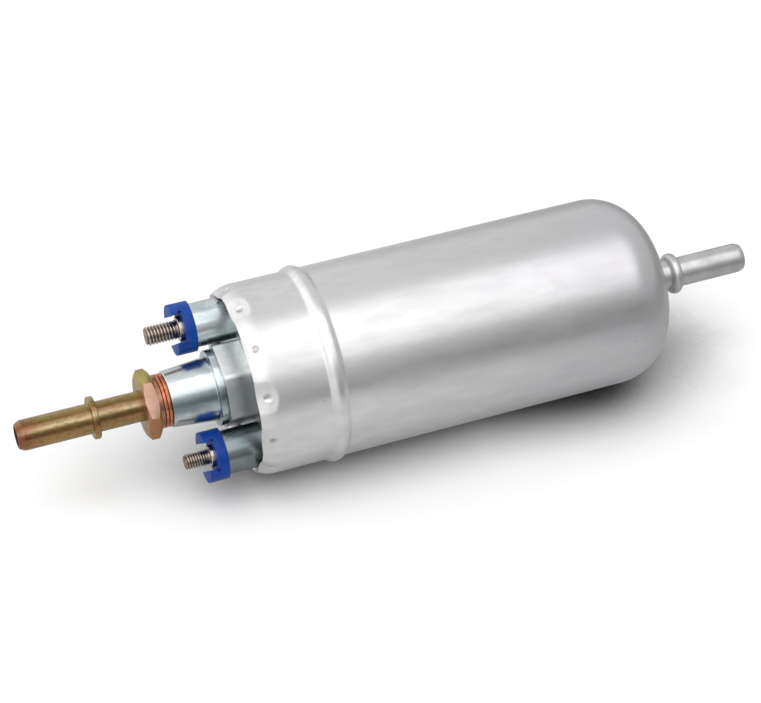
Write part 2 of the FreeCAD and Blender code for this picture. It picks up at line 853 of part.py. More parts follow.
def suppression_chokes():
    """Wound ferrite rods that stand on the brush holder, one in each supply lead."""
    chokes = []
    for side in (-90, 90):
        angle = terminal_roll + side
        wound = rod(holder_front_x, holder_front_x + choke_length, choke_radius,
                    choke_circle_radius, angle)
        core = rod(holder_front_x - choke_stub, holder_front_x + choke_length + choke_stub,
                   choke_core_radius, choke_circle_radius, angle)
        chokes.append(fused([wound, core]))
    return chokes


# The end cover and what it carries

def cover_outline():
    """The cover turned in one piece: flange, seal groove and plateau."""
    groove_x = cover_back_x - seal_groove_inset
    groove_start_x = groove_x - 2 * (cover_seal_section + slip_gap)
    groove_radius = stack_radius - seal_groove_depth
    outline = Outline(cover_back_x, 0).line(cover_back_x, stack_radius)
    outline.line(groove_x, stack_radius).line(groove_x, groove_radius)
    outline.line(groove_start_x, groove_radius).line(groove_start_x, stack_radius)
    outline.line(flange_front_x, stack_radius).line(flange_front_x, plateau_radius)
    outline.line(cover_face_x, plateau_radius).line(cover_face_x, 0)
    return outline


def end_cover():
    """The cover with its hexagonal boss, bored for the three towers."""
    boss = hexagon(boss_front_x, flange_front_x, boss_across_flats, terminal_roll)
    body = fused([cover_outline().turned(), boss])
    holes = [rod(boss_front_x, valve_seat_back_x, outlet_stem_radius + seat_gap),
             rod(valve_seat_back_x, cover_back_x, valve_back_radius)]
    foot_end_x = cover_face_x + tower_foot_length
    pocket_x = cover_back_x - terminal_pocket_depth
    for side in (0, half_turn):
        for start_x, end_x, radius in ((cover_face_x, foot_end_x, tower_foot_radius + seat_gap),
                                       (foot_end_x, pocket_x, terminal_bore_radius),
                                       (pocket_x, cover_back_x, terminal_pocket_radius)):
            holes.append(rod(start_x, end_x, radius, terminal_offset, terminal_roll + side))
    return cut_all(body, holes)


def outlet_tower():
    """The tower in the boss: a stem, a collar and a tapered nose, with the valve's bore."""
    thread_hole_radius = fitting_thread_radius + seat_gap
    outline = Outline(valve_seat_back_x, valve_bore_radius)
    outline.line(valve_seat_back_x, outlet_stem_radius).line(boss_front_x, outlet_stem_radius)
    outline.line(boss_front_x, boss_collar_radius).line(collar_front_x, boss_collar_radius)
    outline.line(collar_front_x, outlet_tower_root_radius)
    outline.line(outlet_tower_tip_x + edge_round, outlet_tower_tip_radius)
    outline.line(outlet_tower_tip_x, outlet_tower_tip_radius - edge_round)
    outline.line(outlet_tower_tip_x, thread_hole_radius).line(thread_end_x, thread_hole_radius)
    outline.line(thread_end_x, valve_bore_radius)
    return outline.turned()


def terminal_towers():
    """Two tubes that stand on the cover, each with a foot let into it."""
    foot_end_x = cover_face_x + tower_foot_length
    towers = []
    for side in (0, half_turn):
        outline = Outline(terminal_face_x, terminal_bore_radius)
        outline.line(terminal_face_x, terminal_tower_radius)
        outline.line(cover_face_x, terminal_tower_radius).line(cover_face_x, tower_foot_radius)
        outline.line(foot_end_x, tower_foot_radius).line(foot_end_x, terminal_bore_radius)
        body = outline.turned()
        body.translate(Vector(0, 0, terminal_offset))
        towers.append(rolled(body, terminal_roll + side))
    return towers


def cover_seal():
    groove_middle_x = cover_back_x - seal_groove_inset - cover_seal_section - slip_gap
    ring_radius = bore_radius - cover_seal_section - seat_gap
    return Part.makeTorus(ring_radius, cover_seal_section, Vector(groove_middle_x, 0, 0), AXIS)


def insulator(side, stud_radius):
    """A collar on the tower's end with two claws that keep a cable lug from turning."""
    base_x = terminal_face_x - insulator_base
    tip_x = base_x - claw_length
    body = rod(tip_x, terminal_face_x, insulator_radius, terminal_offset)
    slot = block(tip_x, base_x, insulator_radius + 1, terminal_offset - lug_slot_width / 2,
                 terminal_offset + lug_slot_width / 2)
    undercut = block(base_x - claw_undercut_height, base_x, insulator_radius + 1,
                     terminal_offset - claw_undercut_width / 2,
                     terminal_offset + claw_undercut_width / 2)
    body = body.cut(slot).cut(undercut)
    sleeve_end_x = cover_back_x - terminal_pocket_depth
    sleeve = rod(terminal_face_x, sleeve_end_x, terminal_bore_radius - sleeve_wall_gap,
                 terminal_offset)
    body = body.fuse(sleeve).cut(rod(tip_x, sleeve_end_x, stud_radius + sleeve_wall_gap,
                                     terminal_offset))
    return rolled(body.removeSplitter(), terminal_roll + side)


def stud(side, radius, thread_length):
    """A threaded stud: a head inside the cover, a shank and a collar for the cable lug."""
    base_x = terminal_face_x - insulator_base
    collar_x = base_x - stud_collar_height
    tip_x = collar_x - thread_length
    head_end_x = cover_back_x
    head_x = head_end_x - stud_head_thickness
    outline = Outline(tip_x, 0).line(tip_x, radius - stud_chamfer)
    outline.line(tip_x + stud_chamfer, radius).line(collar_x, radius)
    outline.line(collar_x, radius + stud_collar_step).line(base_x, radius + stud_collar_step)
    outline.line(base_x, radius).line(head_x, radius)
    head_radius = terminal_pocket_radius - 2 * sleeve_wall_gap
    outline.line(head_x, head_radius).line(head_end_x, head_radius).line(head_end_x, 0)
    body = outline.turned()
    body.translate(Vector(0, 0, terminal_offset))
    return rolled(body, terminal_roll + side)


def terminal_seals():
    start_x = cover_back_x - terminal_pocket_depth
    seals = []
    for side, radius in ((0, positive_stud_radius), (half_turn, negative_stud_radius)):
        seals.append(tube(start_x, start_x + terminal_seal_thickness,
                          terminal_pocket_radius - sleeve_wall_gap, radius + sleeve_wall_gap,
                          terminal_offset, terminal_roll + side))
    return seals


def outlet_fitting():
    """The quick-connect outlet: hexagon, hose spigot with its bead, and threaded stem."""
    tip_x = outlet_tip_x
    bead_front_x = outlet_bead_x - outlet_bead_width
    outline = Outline(tip_x, outlet_bore_radius).line(tip_x, hose_radius - outlet_tip_drop)
    outline.line(tip_x + outlet_tip_length, hose_radius).line(bead_front_x, hose_radius)
    outline.line(bead_front_x, hose_bead_radius - edge_round)
    outline.line(bead_front_x + edge_round, hose_bead_radius)
    outline.line(outlet_bead_x - edge_round, hose_bead_radius)
    outline.line(outlet_bead_x, hose_bead_radius - edge_round)
    outline.line(outlet_bead_x, hose_radius).line(fitting_back_x, hose_radius)
    outline.line(fitting_back_x, washer_radius)
    outline.line(fitting_back_x + fitting_pad_length, washer_radius)
    outline.line(fitting_back_x + fitting_pad_length, fitting_thread_radius)
    outline.line(thread_end_x, fitting_thread_radius).line(thread_end_x, outlet_bore_radius)
    hexagonal = hexagon(fitting_front_x, fitting_back_x, fitting_across_flats, fitting_flat_angle())
    corner_radius = fitting_across_flats / math.sqrt(3)
    land = fitting_across_flats / 2
    drop = (corner_radius - land) / math.sqrt(3)
    turned = Outline(fitting_front_x, outlet_bore_radius).line(fitting_front_x, land)
    turned.line(fitting_front_x + drop, corner_radius).line(fitting_back_x - drop, corner_radius)
    turned.line(fitting_back_x, land).line(fitting_back_x, outlet_bore_radius)
    hexagonal = hexagonal.common(turned.turned())
    return fused([outline.turned(), hexagonal])


def fitting_flat_angle():
    """The hexagon stops a little past the boss's own flats when it is tight."""
    return terminal_roll + 26.5


def sealing_washers():
    washers = []
    for k in range(washer_count):
        start_x = outlet_tower_tip_x - (k + 1) * (washer_thickness + seat_gap)
        washers.append(tube(start_x, start_x + washer_thickness, washer_radius,
                            fitting_thread_radius + seat_gap))
    return washers


# The check valve

def check_seat():
    return tube(valve_seat_x, valve_seat_back_x, valve_bore_radius - running_gap, valve_port_radius)


def check_plunger():
    """A mushroom valve: its nose sits in the port and its stem slides in the guide."""
    nose = rod(valve_seat_x, valve_seat_x + valve_nose_length, valve_nose_radius)
    head = rod(valve_head_front_x, valve_seat_x, valve_head_radius)
    stem = rod(guide_start_x + valve_stem_overrun, valve_head_front_x, valve_stem_radius)
    return fused([nose, head, stem])


def check_spring():
    spring = coil_spring(check_spring_radius, check_spring_wire,
                         valve_head_front_x - guide_end_x, check_spring_turns)
    spring.translate(Vector(guide_end_x, 0, 0))
    return spring


def check_guide():
    guide = tube(guide_start_x, guide_end_x, valve_bore_radius - running_gap,
                 valve_stem_radius + running_gap)
    middle = (valve_stem_radius + valve_bore_radius) / 2
    ports = [rod(guide_start_x, guide_end_x, guide_port_radius, middle,
                 full_turn * k / guide_port_count) for k in range(guide_port_count)]
    return cut_all(guide, ports)


def save(name, shapes):
    """Write one node: a single solid, or a group of separate ones."""
    group = shapes if isinstance(shapes, list) else [shapes]
    solids = [solid for shape in group for solid in shape.Solids]
    shape = solids[0] if len(solids) == 1 else Part.makeCompound(solids)
    shape.exportStep("parts/" + name + ".step")


def main():
    os.makedirs("parts", exist_ok=True)
    plus, minus = 0, half_turn
    pieces = {
        "housing_can": housing_can(),
        "inlet_spigot": inlet_spigot(),
        "inlet_seal": inlet_seal(),
        "inlet_strainer": inlet_strainer(),
        "support_ring": support_ring(),
        "suction_cover": suction_cover(),
        "gear_housing": gear_housing(),
        "outer_rotor": outer_rotor(),
        "inner_rotor": inner_rotor(),
        "pressure_plate": pressure_plate(),
        "pump_screws": pump_screws(),
        "relief_ball": relief_ball(),
        "relief_spring": relief_spring(),
        "relief_plug": relief_plug(),
        "armature_shaft": armature_shaft(),
        "armature_core": armature_core(),
        "armature_winding": armature_winding(),
        "commutator_bars": commutator_bars(),
        "commutator_hub": commutator_hub(),
        "thrust_washers": thrust_washers(),
        "shaft_spacer": shaft_spacer(),
        "front_bush": front_bush(),
        "rear_bush": rear_bush(),
        "flux_tube": flux_tube(),
        "north_magnet": magnet(1),
        "south_magnet": magnet(-1),
        "magnet_clips": magnet_clips(),
        "brush_holder": brush_holder(),
        "positive_brush": brush(plus),
        "negative_brush": brush(minus),
        "positive_brush_spring": brush_spring(plus),
        "negative_brush_spring": brush_spring(minus),
        "brush_caps": brush_caps(),
        "suppression_chokes": suppression_chokes(),
        "end_cover": end_cover(),
        "outlet_tower": outlet_tower(),
        "terminal_towers": terminal_towers(),
        "cover_seal": cover_seal(),
        "positive_insulator": insulator(plus, positive_stud_radius),
        "negative_insulator": insulator(minus, negative_stud_radius),
        "positive_stud": stud(plus, positive_stud_radius, positive_thread_length),
        "negative_stud": stud(minus, negative_stud_radius, negative_thread_length),
        "terminal_seals": terminal_seals(),
        "check_seat": check_seat(),
        "check_plunger": check_plunger(),
        "check_spring": check_spring(),
        "check_guide": check_guide(),
        "sealing_washers": sealing_washers(),
        "outlet_fitting": outlet_fitting(),
    }
    for name, shapes in pieces.items():
        save(name, shapes)
    print(len(pieces), "nodes; can from", round(mouth_x, 2), "to", round(apex_x, 2),
          "; overall from", round(outlet_tip_x, 2), "to", round(inlet_tip_x, 2))


main()
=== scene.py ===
"""An in-line electric fuel pump lying on a pale floor, dressed for a studio picture.

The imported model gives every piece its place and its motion. The pieces that show are made again
here with rounded edges, cut threads and stake marks, and every finish is procedural. Sizes are in
millimetres and degrees, X runs along the pump towards the inlet, and an angle about the axis is
counted from +Z towards -Y.
"""

import json
import logging
import math
from dataclasses import dataclass
from enum import Enum

import bmesh
import bpy
from mathutils import Matrix, Vector

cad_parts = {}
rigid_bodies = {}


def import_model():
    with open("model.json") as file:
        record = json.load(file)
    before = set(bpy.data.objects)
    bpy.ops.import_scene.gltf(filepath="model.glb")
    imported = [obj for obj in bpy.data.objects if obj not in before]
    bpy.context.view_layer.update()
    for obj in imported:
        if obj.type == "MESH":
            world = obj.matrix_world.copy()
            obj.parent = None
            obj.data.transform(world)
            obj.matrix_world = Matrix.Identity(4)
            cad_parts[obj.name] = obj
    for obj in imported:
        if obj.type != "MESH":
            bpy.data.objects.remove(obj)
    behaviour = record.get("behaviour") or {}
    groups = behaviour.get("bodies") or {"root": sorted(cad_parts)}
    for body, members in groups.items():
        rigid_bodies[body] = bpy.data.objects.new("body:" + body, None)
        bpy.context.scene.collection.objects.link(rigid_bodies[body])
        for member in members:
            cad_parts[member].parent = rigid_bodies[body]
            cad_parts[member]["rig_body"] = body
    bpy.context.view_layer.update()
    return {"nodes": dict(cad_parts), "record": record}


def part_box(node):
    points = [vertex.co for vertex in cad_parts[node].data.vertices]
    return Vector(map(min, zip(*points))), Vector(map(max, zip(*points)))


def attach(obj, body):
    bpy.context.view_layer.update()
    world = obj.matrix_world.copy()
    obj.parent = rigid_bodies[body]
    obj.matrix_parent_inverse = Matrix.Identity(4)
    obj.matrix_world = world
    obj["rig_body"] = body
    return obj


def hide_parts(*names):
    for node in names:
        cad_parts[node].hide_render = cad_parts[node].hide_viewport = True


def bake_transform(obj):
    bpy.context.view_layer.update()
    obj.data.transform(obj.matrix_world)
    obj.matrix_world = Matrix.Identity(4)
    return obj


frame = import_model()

LOG = logging.getLogger("fuel_pump")
MM = 0.001
FULL_TURN = 2 * math.pi
ORIGIN = (0.0, 0.0, 0.0)
LENGTHWISE = (1.0, 0.0, 0.0)
SIDEWAYS = (0.0, 1.0, 0.0)
EVEN = (1.0, 1.0, 1.0)
SAME_PLACE = 1e-7
CREASE = 32.0

# Where the pieces at the cover meet, and the sizes that several pieces share
COVER_BACK = -60.05
STEM_END = -64.05
FOOT_END = -68.57
COVER_FACE = -72.57
BOSS_FRONT = -81.3
TERMINAL_FACE = -84.97
THREAD_END = -87.47
OUTLET_TIP = -97.97
TERMINAL_ROLL = -43.9
TERMINAL_OFFSET = 20.104
HOSE_RADIUS = 4.745
BEAD_RADIUS = 6.65
THREAD_DEPTH = 0.5

Triple = tuple[float, float, float]
Colour = Triple
Reach = tuple[float, float, float, float]
Stops = list[tuple[float, Colour]]


class Slot(Enum):
    """Names of the record's material slots; the script does not use them."""

    CAN = "can"
    SPIGOT = "spigot_metal"
    COVER = "cover_zinc"
    TOWER = "zinc_plate"
    INSULATOR = "blue_plastic"
    STUD = "stud_steel"
    WASHER = "copper"
    FITTING = "yellow_chromate"
    SPRING = "spring_steel"


class Side(Enum):
    """The two terminals, by the turn that carries the upper one to each place."""

    UPPER = 0.0
    LOWER = 180.0


class Carve(Enum):
    """What a boolean does with its second shape."""

    CUT = "DIFFERENCE"
    COMMON = "INTERSECT"


# Finishes


def paint(red: float, green: float, blue: float) -> Colour:
    """Turn a colour as it is seen on a screen into the one that the shaders use.

    Args:
        red: Red, 0 to 255.
        green: Green, 0 to 255.
        blue: Blue, 0 to 255.

    Returns:
        The same colour with linear values from 0 to 1.
    """
    values = []
    for value in (red, green, blue):
        share = value / 255
        values.append(share / 12.92 if share < 0.04045 else ((share + 0.055) / 1.055) ** 2.4)
    return values[0], values[1], values[2]


def turn_share(angle: float) -> float:
    """An angle about the axis, -180 to 180, as a share of a turn from 0 to 1."""
    return (angle + 180.0) / 360.0


def grey(tone: float) -> Colour:
    """A grey of one tone."""
    return tone, tone, tone


@dataclass(frozen=True)
class Pattern:
    """Soft noise.

    Attributes:
        size: The lumps' size, in millimetres.
        detail: How many finer octaves it has.
        stretch: How much longer the lumps are along each axis.
        shift: A shift that gives another pattern.
    """

    size: float
    detail: float = 3.0
    stretch: Triple = EVEN
    shift: Triple = ORIGIN


class NodeBoard:
    """A node tree, put together step by step."""

    def __init__(self, tree: bpy.types.NodeTree) -> None:
        """Start on a tree.

        Args:
            tree: The tree that gets the nodes.
        """
        self.tree = tree
        self.coordinates = tree.nodes.new("ShaderNodeTexCoord")

    def join(self, source: bpy.types.NodeSocket, target: bpy.types.NodeSocket) -> None:
        """Link two sockets."""
        self.tree.links.new(source, target)

    def parts(self, kind: str = "Object") -> list[bpy.types.NodeSocket]:
        """Split coordinates into X, Y and Z.

        Args:
            kind: Which coordinates.

        Returns:
            The three sockets, in metres.
        """
        node = self.tree.nodes.new("ShaderNodeSeparateXYZ")
        self.join(self.coordinates.outputs[kind], node.inputs["Vector"])
        return list(node.outputs)

    def place(self, stretch: Triple, shift: Triple = ORIGIN) -> bpy.types.NodeSocket:
        """Object coordinates, stretched per axis.

        Args:
            stretch: The scale along X, Y and Z.
            shift: The shift along X, Y and Z, in metres.

        Returns:
            The vector socket.
        """
        mapping = self.tree.nodes.new("ShaderNodeMapping")
        mapping.inputs["Scale"].default_value = stretch
        mapping.inputs["Location"].default_value = shift
        self.join(self.coordinates.outputs["Object"], mapping.inputs["Vector"])
        return mapping.outputs["Vector"]

    def noise(self, pattern: Pattern) -> bpy.types.NodeSocket:
        """Lay soft noise over the piece.

        Args:
            pattern: What the noise is like.

        Returns:
            The noise's value socket.
        """
        node = self.tree.nodes.new("ShaderNodeTexNoise")
        node.inputs["Scale"].default_value = 1.0 / (pattern.size * MM)
        node.inputs["Detail"].default_value = pattern.detail
        thin, deep, tall = pattern.stretch
        self.join(self.place((1 / thin, 1 / deep, 1 / tall), pattern.shift), node.inputs["Vector"])
        return node.outputs["Fac"]

    def specks(self, spacing: float, size: float) -> bpy.types.NodeSocket:
        """Small round specks, one or none in each cell.

        Args:
            spacing: The cells' size, in millimetres.
            size: The specks' radius as a share of a cell.

        Returns:
            A value that is 1 on a speck and 0 elsewhere.
        """
        node = self.tree.nodes.new("ShaderNodeTexVoronoi")
        node.inputs["Scale"].default_value = 1.0 / (spacing * MM)
        self.join(self.place(EVEN), node.inputs["Vector"])
        return self.span(node.outputs["Distance"], size, size * 0.5, 0.0, 1.0)

    def span(self, value: bpy.types.NodeSocket, low: float, high: float, to_low: float,
             to_high: float, smooth: bool = False) -> bpy.types.NodeSocket:
        """Carry a range of values to another range.

        Args:
            value: The value's socket.
            low: The value that becomes to_low.
            high: The value that becomes to_high.
            to_low: The new value at low.
            to_high: The new value at high.
            smooth: Whether it eases in and out.

        Returns:
            The new value's socket, kept between the two.
        """
        node = self.tree.nodes.new("ShaderNodeMapRange")
        node.clamp = True
        node.interpolation_type = "SMOOTHSTEP" if smooth else "LINEAR"
        for name, number in (("From Min", low), ("From Max", high), ("To Min", to_low),
                             ("To Max", to_high)):
            node.inputs[name].default_value = number
        self.join(value, node.inputs["Value"])
        return node.outputs["Result"]

    def ramp(self, value: bpy.types.NodeSocket, stops: Stops,
             steps: bool = False) -> bpy.types.NodeSocket:
        """Turn a value into a colour.

        Args:
            value: The value's socket.
            stops: Each place from 0 to 1 and its colour.
            steps: Whether each colour holds until the next place.

        Returns:
            The colour socket.
        """
        node = self.tree.nodes.new("ShaderNodeValToRGB")
        band = node.color_ramp
        band.interpolation = "CONSTANT" if steps else "LINEAR"
        while len(band.elements) < len(stops):
            band.elements.new(0.5)
        for element, (place, colour) in zip(band.elements, stops):
            element.position = place
            element.color = (*colour, 1.0)
        self.join(value, node.inputs["Fac"])
        return node.outputs["Color"]

    def math(self, how: str, first: bpy.types.NodeSocket,
             second: bpy.types.NodeSocket | float) -> bpy.types.NodeSocket:
        """Work out one value from two.

        Args:
            how: The operation, such as ADD or MULTIPLY.
            first: The first value's socket.
            second: The second value, or its socket.

        Returns:
            The result's socket.
        """
        node = self.tree.nodes.new("ShaderNodeMath")
        node.operation = how
        self.join(first, node.inputs[0])
        if isinstance(second, bpy.types.NodeSocket):
            self.join(second, node.inputs[1])
        else:
            node.inputs[1].default_value = second
        return node.outputs["Value"]

    def blend(self, share: bpy.types.NodeSocket, first: bpy.types.NodeSocket,
              second: bpy.types.NodeSocket | Colour) -> bpy.types.NodeSocket:
        """Blend two colours.

        Args:
            share: How much of the second colour shows.
            first: The first colour's socket.
            second: The second colour, or its socket.

        Returns:
            The blended colour's socket.
        """
        node = self.tree.nodes.new("ShaderNodeMix")
        node.data_type = "RGBA"
        colours = [socket for socket in node.inputs if socket.type == "RGBA"]
        self.join(share, node.inputs[0])
        self.join(first, colours[0])
        if isinstance(second, bpy.types.NodeSocket):
            self.join(second, colours[1])
        else:
            colours[1].default_value = (*second, 1.0)
        return [socket for socket in node.outputs if socket.type == "RGBA"][0]

    def share(self, value: bpy.types.NodeSocket, part: float) -> bpy.types.NodeSocket:
        """Take a part of a value."""
        return self.math("MULTIPLY", value, part)

    def along(self) -> bpy.types.NodeSocket:
        """The place along the pump's axis, in metres."""
        return self.parts()[0]

    def around(self) -> bpy.types.NodeSocket:
        """Work out the angle about the pump's axis.

        Returns:
            The angle's socket, as a share of a turn from 0 to 1.
        """
        _, y, z = self.parts()
        angle = self.math("ARCTAN2", self.share(y, -1.0), z)
        return self.span(angle, -math.pi, math.pi, 0.0, 1.0)

    def distance(self, roll: float = 0.0, offset: float = 0.0) -> bpy.types.NodeSocket:
        """Work out the distance from a line along X, in metres.

        Args:
            roll: The line's angle about the pump's axis.
            offset: How far the line lies from the pump's axis.

        Returns:
            The distance's socket.
        """
        turn, lift = math.radians(roll), offset * MM
        node = self.tree.nodes.new("ShaderNodeVectorMath")
        node.operation = "LENGTH"
        shift = (0.0, lift * math.sin(turn), -lift * math.cos(turn))
        self.join(self.place((0.0, 1.0, 1.0), shift), node.inputs[0])
        return node.outputs["Value"]

    def painted(self, name: str) -> bpy.types.NodeSocket:
        """Read a value that the piece's mesh carries at each vertex.

        Args:
            name: The value's name on the mesh.

        Returns:
            The value's socket.
        """
        node = self.tree.nodes.new("ShaderNodeAttribute")
        node.attribute_name = name
        return node.outputs["Fac"]


class SurfaceBoard(NodeBoard):
    """The node tree of one material."""

    def __init__(self, name: str) -> None:
        """Start a material with its principled shader.

        Args:
            name: The material's name.
        """
        self.material = bpy.data.materials.new(name)
        self.material.use_nodes = True
        super().__init__(self.material.node_tree)
        self.shader = self.tree.nodes["Principled BSDF"]

    def constant(self, socket: str, value: float) -> None:
        """Set a value of the shader that is the same all over the surface."""
        self.shader.inputs[socket].default_value = value

    def drive(self, socket: str, source: bpy.types.NodeSocket) -> None:
        """Link a pattern to one of the shader's sockets."""
        self.join(source, self.shader.inputs[socket])

    def relief(self, height: bpy.types.NodeSocket, depth: float) -> None:
        """Press a pattern into the surface.

        Args:
            height: The pattern's socket, 0 to 1.
            depth: The height that 1 stands for, in millimetres.
        """
        node = self.tree.nodes.new("ShaderNodeBump")
        node.inputs["Strength"].default_value = 1.0
        node.inputs["Distance"].default_value = depth * MM
        self.join(height, node.inputs["Height"])
        self.drive("Normal", node.outputs["Normal"])


@dataclass(frozen=True)
class MetalFinish:
    """A bare or plated metal with uneven tone, grain and a little relief."""

    name: str
    bright: Colour
    dull: Colour
    roughness: float
    spread: float = 0.06
    patch: float = 6.0
    patch_stretch: Triple = EVEN
    grain: float = 0.3
    grain_stretch: Triple = EVEN
    depth: float = 0.004

    def tone(self, board: SurfaceBoard, patches: bpy.types.NodeSocket) -> bpy.types.NodeSocket:
        """Colour the metal in uneven patches.

        Args:
            board: The material's tree.
            patches: The patches, 0 to 1.

        Returns:
            The colour's socket.
        """
        return board.ramp(patches, [(0.3, self.dull), (0.62, self.bright)])

    def build(self) -> bpy.types.Material:
        """Make the material.

        Returns:
            The material.
        """
        board = SurfaceBoard(self.name)
        patches = board.noise(Pattern(self.patch, 4.0, self.patch_stretch))
        board.drive("Base Color", self.tone(board, patches))
        board.constant("Metallic", 1.0)
        board.drive("Roughness", board.span(patches, 0.3, 0.7, self.roughness + self.spread,
                                            self.roughness - self.spread))
        grain = board.noise(Pattern(self.grain, 2.0, self.grain_stretch, (0.02, 0.01, 0.03)))
        board.relief(grain, self.depth)
        return board.material


@dataclass(frozen=True)
class PlatedFinish(MetalFinish):
    """Zinc plate with painted shade in bands about the axis and close to the pump's axis."""

    dark: Colour = paint(104, 120, 124)
    painted_shades: tuple[tuple[float, float], ...] = ((0.0, 0.0),)
    recess_shade: tuple[float, float] = (0.0, 1.0)
    recess_shade_share: float = 0.9
    wander: float = 0.06

    def tone(self, board: SurfaceBoard, patches: bpy.types.NodeSocket) -> bpy.types.NodeSocket:
        """Paint shade over the patches by their angle about the axis and close to it.

        Args:
            board: The material's tree.
            patches: The patches, 0 to 1.

        Returns:
            The colour's socket.
        """
        even = super().tone(board, patches)
        drift = board.share(board.math("SUBTRACT", patches, 0.5), self.wander)
        place = board.math("ADD", board.around(), drift)
        stops = [(turn_share(angle), grey(share)) for angle, share in self.painted_shades]
        # Painted shade close to the pump's axis, as on the terminal towers' sides that face the
        # boss.
        near, far = self.recess_shade
        deep = board.span(board.distance(), near * MM, far * MM, self.recess_shade_share, 0.0)
        share = board.math("MAXIMUM", board.ramp(place, stops), deep)
        return board.blend(share, even, self.dark)


@dataclass(frozen=True)
class MouldedFinish:
    """A moulded plastic, rubber or sintered surface, with a faint texture."""

    name: str
    body: Colour
    worn: Colour
    roughness: float
    clouds: Pattern = Pattern(3.0)
    texture: Pattern = Pattern(0.25, 2.0)
    depth: float = 0.006
    gloss: float = 0.5

    def build(self) -> bpy.types.Material:
        """Make the material.

        Returns:
            The material.
        """
        board = SurfaceBoard(self.name)
        clouds = board.noise(self.clouds)
        board.drive("Base Color", board.ramp(clouds, [(0.35, self.body), (0.75, self.worn)]))
        board.constant("Specular IOR Level", self.gloss)
        board.drive("Roughness", board.span(clouds, 0.3, 0.7, self.roughness - 0.04,
                                            self.roughness + 0.05))
        board.relief(board.noise(self.texture), self.depth)
        return board.material


@dataclass(frozen=True)
class ThreadFinish:
    """Warm nickel on a stud, darker in the thread's grooves."""

    name: str
    side: Side
    crest: float
    root: float
    bright: Colour = paint(202, 193, 184)
    groove_tone: Colour = paint(132, 114, 102)
    patches: Pattern = Pattern(1.5)
    grain: Pattern = Pattern(0.3, 2.0)
    roughness: Reach = (0.3, 0.7, 0.18, 0.32)
    depth: float = 0.004

    def build(self) -> bpy.types.Material:
        """Make the material.

        Returns:
            The material.
        """
        board = SurfaceBoard(self.name)
        away = board.distance(TERMINAL_ROLL + self.side.value, TERMINAL_OFFSET)
        # The colour darkens from the crests down into the grooves.
        height = board.span(away, self.root * MM, self.crest * MM, 0.0, 1.0)
        board.drive("Base Color", board.ramp(height, [(0.1, self.groove_tone), (0.6, self.bright)]))
        board.constant("Metallic", 1.0)
        board.drive("Roughness", board.span(board.noise(self.patches), *self.roughness))
        board.relief(board.noise(self.grain), self.depth)
        return board.material


@dataclass(frozen=True)
class DrawnCanFinish:
    """Satin drawn aluminium, smeared and scuffed, with specks and painted shade in its pits."""

    name: str = "satin_drawn_aluminium"
    bright: Colour = paint(240, 239, 240)
    dull: Colour = paint(226, 225, 225)
    shaded: Colour = paint(216, 214, 218)
    smudge: Colour = paint(198, 192, 191)
    stain_and_pit_shade: Colour = paint(120, 112, 106)
    roughness: float = 0.36
    smears: Pattern = Pattern(5.0, 5.0, (3.5, 1.0, 1.0))
    smear_share: float = 0.6
    clouds: Pattern = Pattern(22.0, 2.0, (1.6, 1.0, 1.0), (0.11, 0.05, 0.02))
    cloud_share: float = 0.4
    tint_and_shade_fading: Reach = (-45 * MM, 45 * MM, 0.0, 1.0)
    smudges: Pattern = Pattern(2.4, 6.0, (2.2, 1.0, 1.0), (0.02, 0.09, 0.04))
    smudge_reach: Reach = (0.46, 0.7, 0.0, 0.22)
    soiled: Pattern = Pattern(14.0, 2.0, (2.0, 1.0, 1.0), (0.07, 0.01, 0.06))
    soiled_reach: Reach = (0.42, 0.6, 0.25, 1.0)
    rubs: Pattern = Pattern(0.9, 1.0, (22.0, 1.0, 1.0), (0.05, 0.01, 0.02))
    rub_reach: Reach = (0.70, 0.76, 0.0, 1.0)
    rub_share: float = 0.2
    rub_lift: float = 0.08
    speck_spacing: float = 13.0
    speck_size: float = 0.028
    speck_share: float = 0.45
    pit_shade_share: float = 0.55
    draw: Pattern = Pattern(0.6, 2.0, (16.0, 1.0, 1.0), (0.01, 0.02, 0.0))
    draw_share: float = 0.1
    waves: Pattern = Pattern(5.0, 1.0, (4.0, 1.0, 1.0), (0.03, 0.0, 0.07))
    wave_share: float = 0.6
    depth: float = 0.06

    def build(self) -> bpy.types.Material:
        """Make the material.

        Returns:
            The material.
        """
        board = SurfaceBoard(self.name)
        both = board.math("ADD", board.share(board.noise(self.smears), self.smear_share),
                          board.share(board.noise(self.clouds), self.cloud_share))
        near = board.ramp(both, [(0.36, self.dull), (0.6, self.bright)])
        far = board.ramp(both, [(0.36, self.shaded), (0.9, self.dull)])
        # Partly a real tint, partly painted shade: the colour fades to a darker, slightly lilac
        # tone near the dome.
        tone = board.blend(board.span(board.along(), *self.tint_and_shade_fading), near, far)
        smudges = board.span(board.noise(self.smudges), *self.smudge_reach)
        where = board.span(board.noise(self.soiled), *self.soiled_reach)
        tone = board.blend(board.math("MULTIPLY", smudges, where), tone, self.smudge)
        rubs = board.span(board.noise(self.rubs), *self.rub_reach)
        tone = board.blend(board.share(rubs, self.rub_share), tone, self.smudge)
        specks = board.share(board.specks(self.speck_spacing, self.speck_size), self.speck_share)
        # The specks are real dirt; the stake pits get painted shade in the same stain colour.
        dirt_and_pit_shade = board.math("MAXIMUM", specks, board.share(board.painted("pit"), self.pit_shade_share))
        board.drive("Base Color", board.blend(dirt_and_pit_shade, tone, self.stain_and_pit_shade))
        board.constant("Metallic", 1.0)
        board.drive("Roughness", board.span(both, 0.34, 0.62, self.roughness + 0.07,
                                            self.roughness - 0.05))
        height = board.math("ADD", board.share(board.noise(self.draw), self.draw_share),
                            board.share(board.noise(self.waves), self.wave_share))
        board.relief(board.math("ADD", height, board.share(rubs, self.rub_lift)), self.depth)
        return board.material


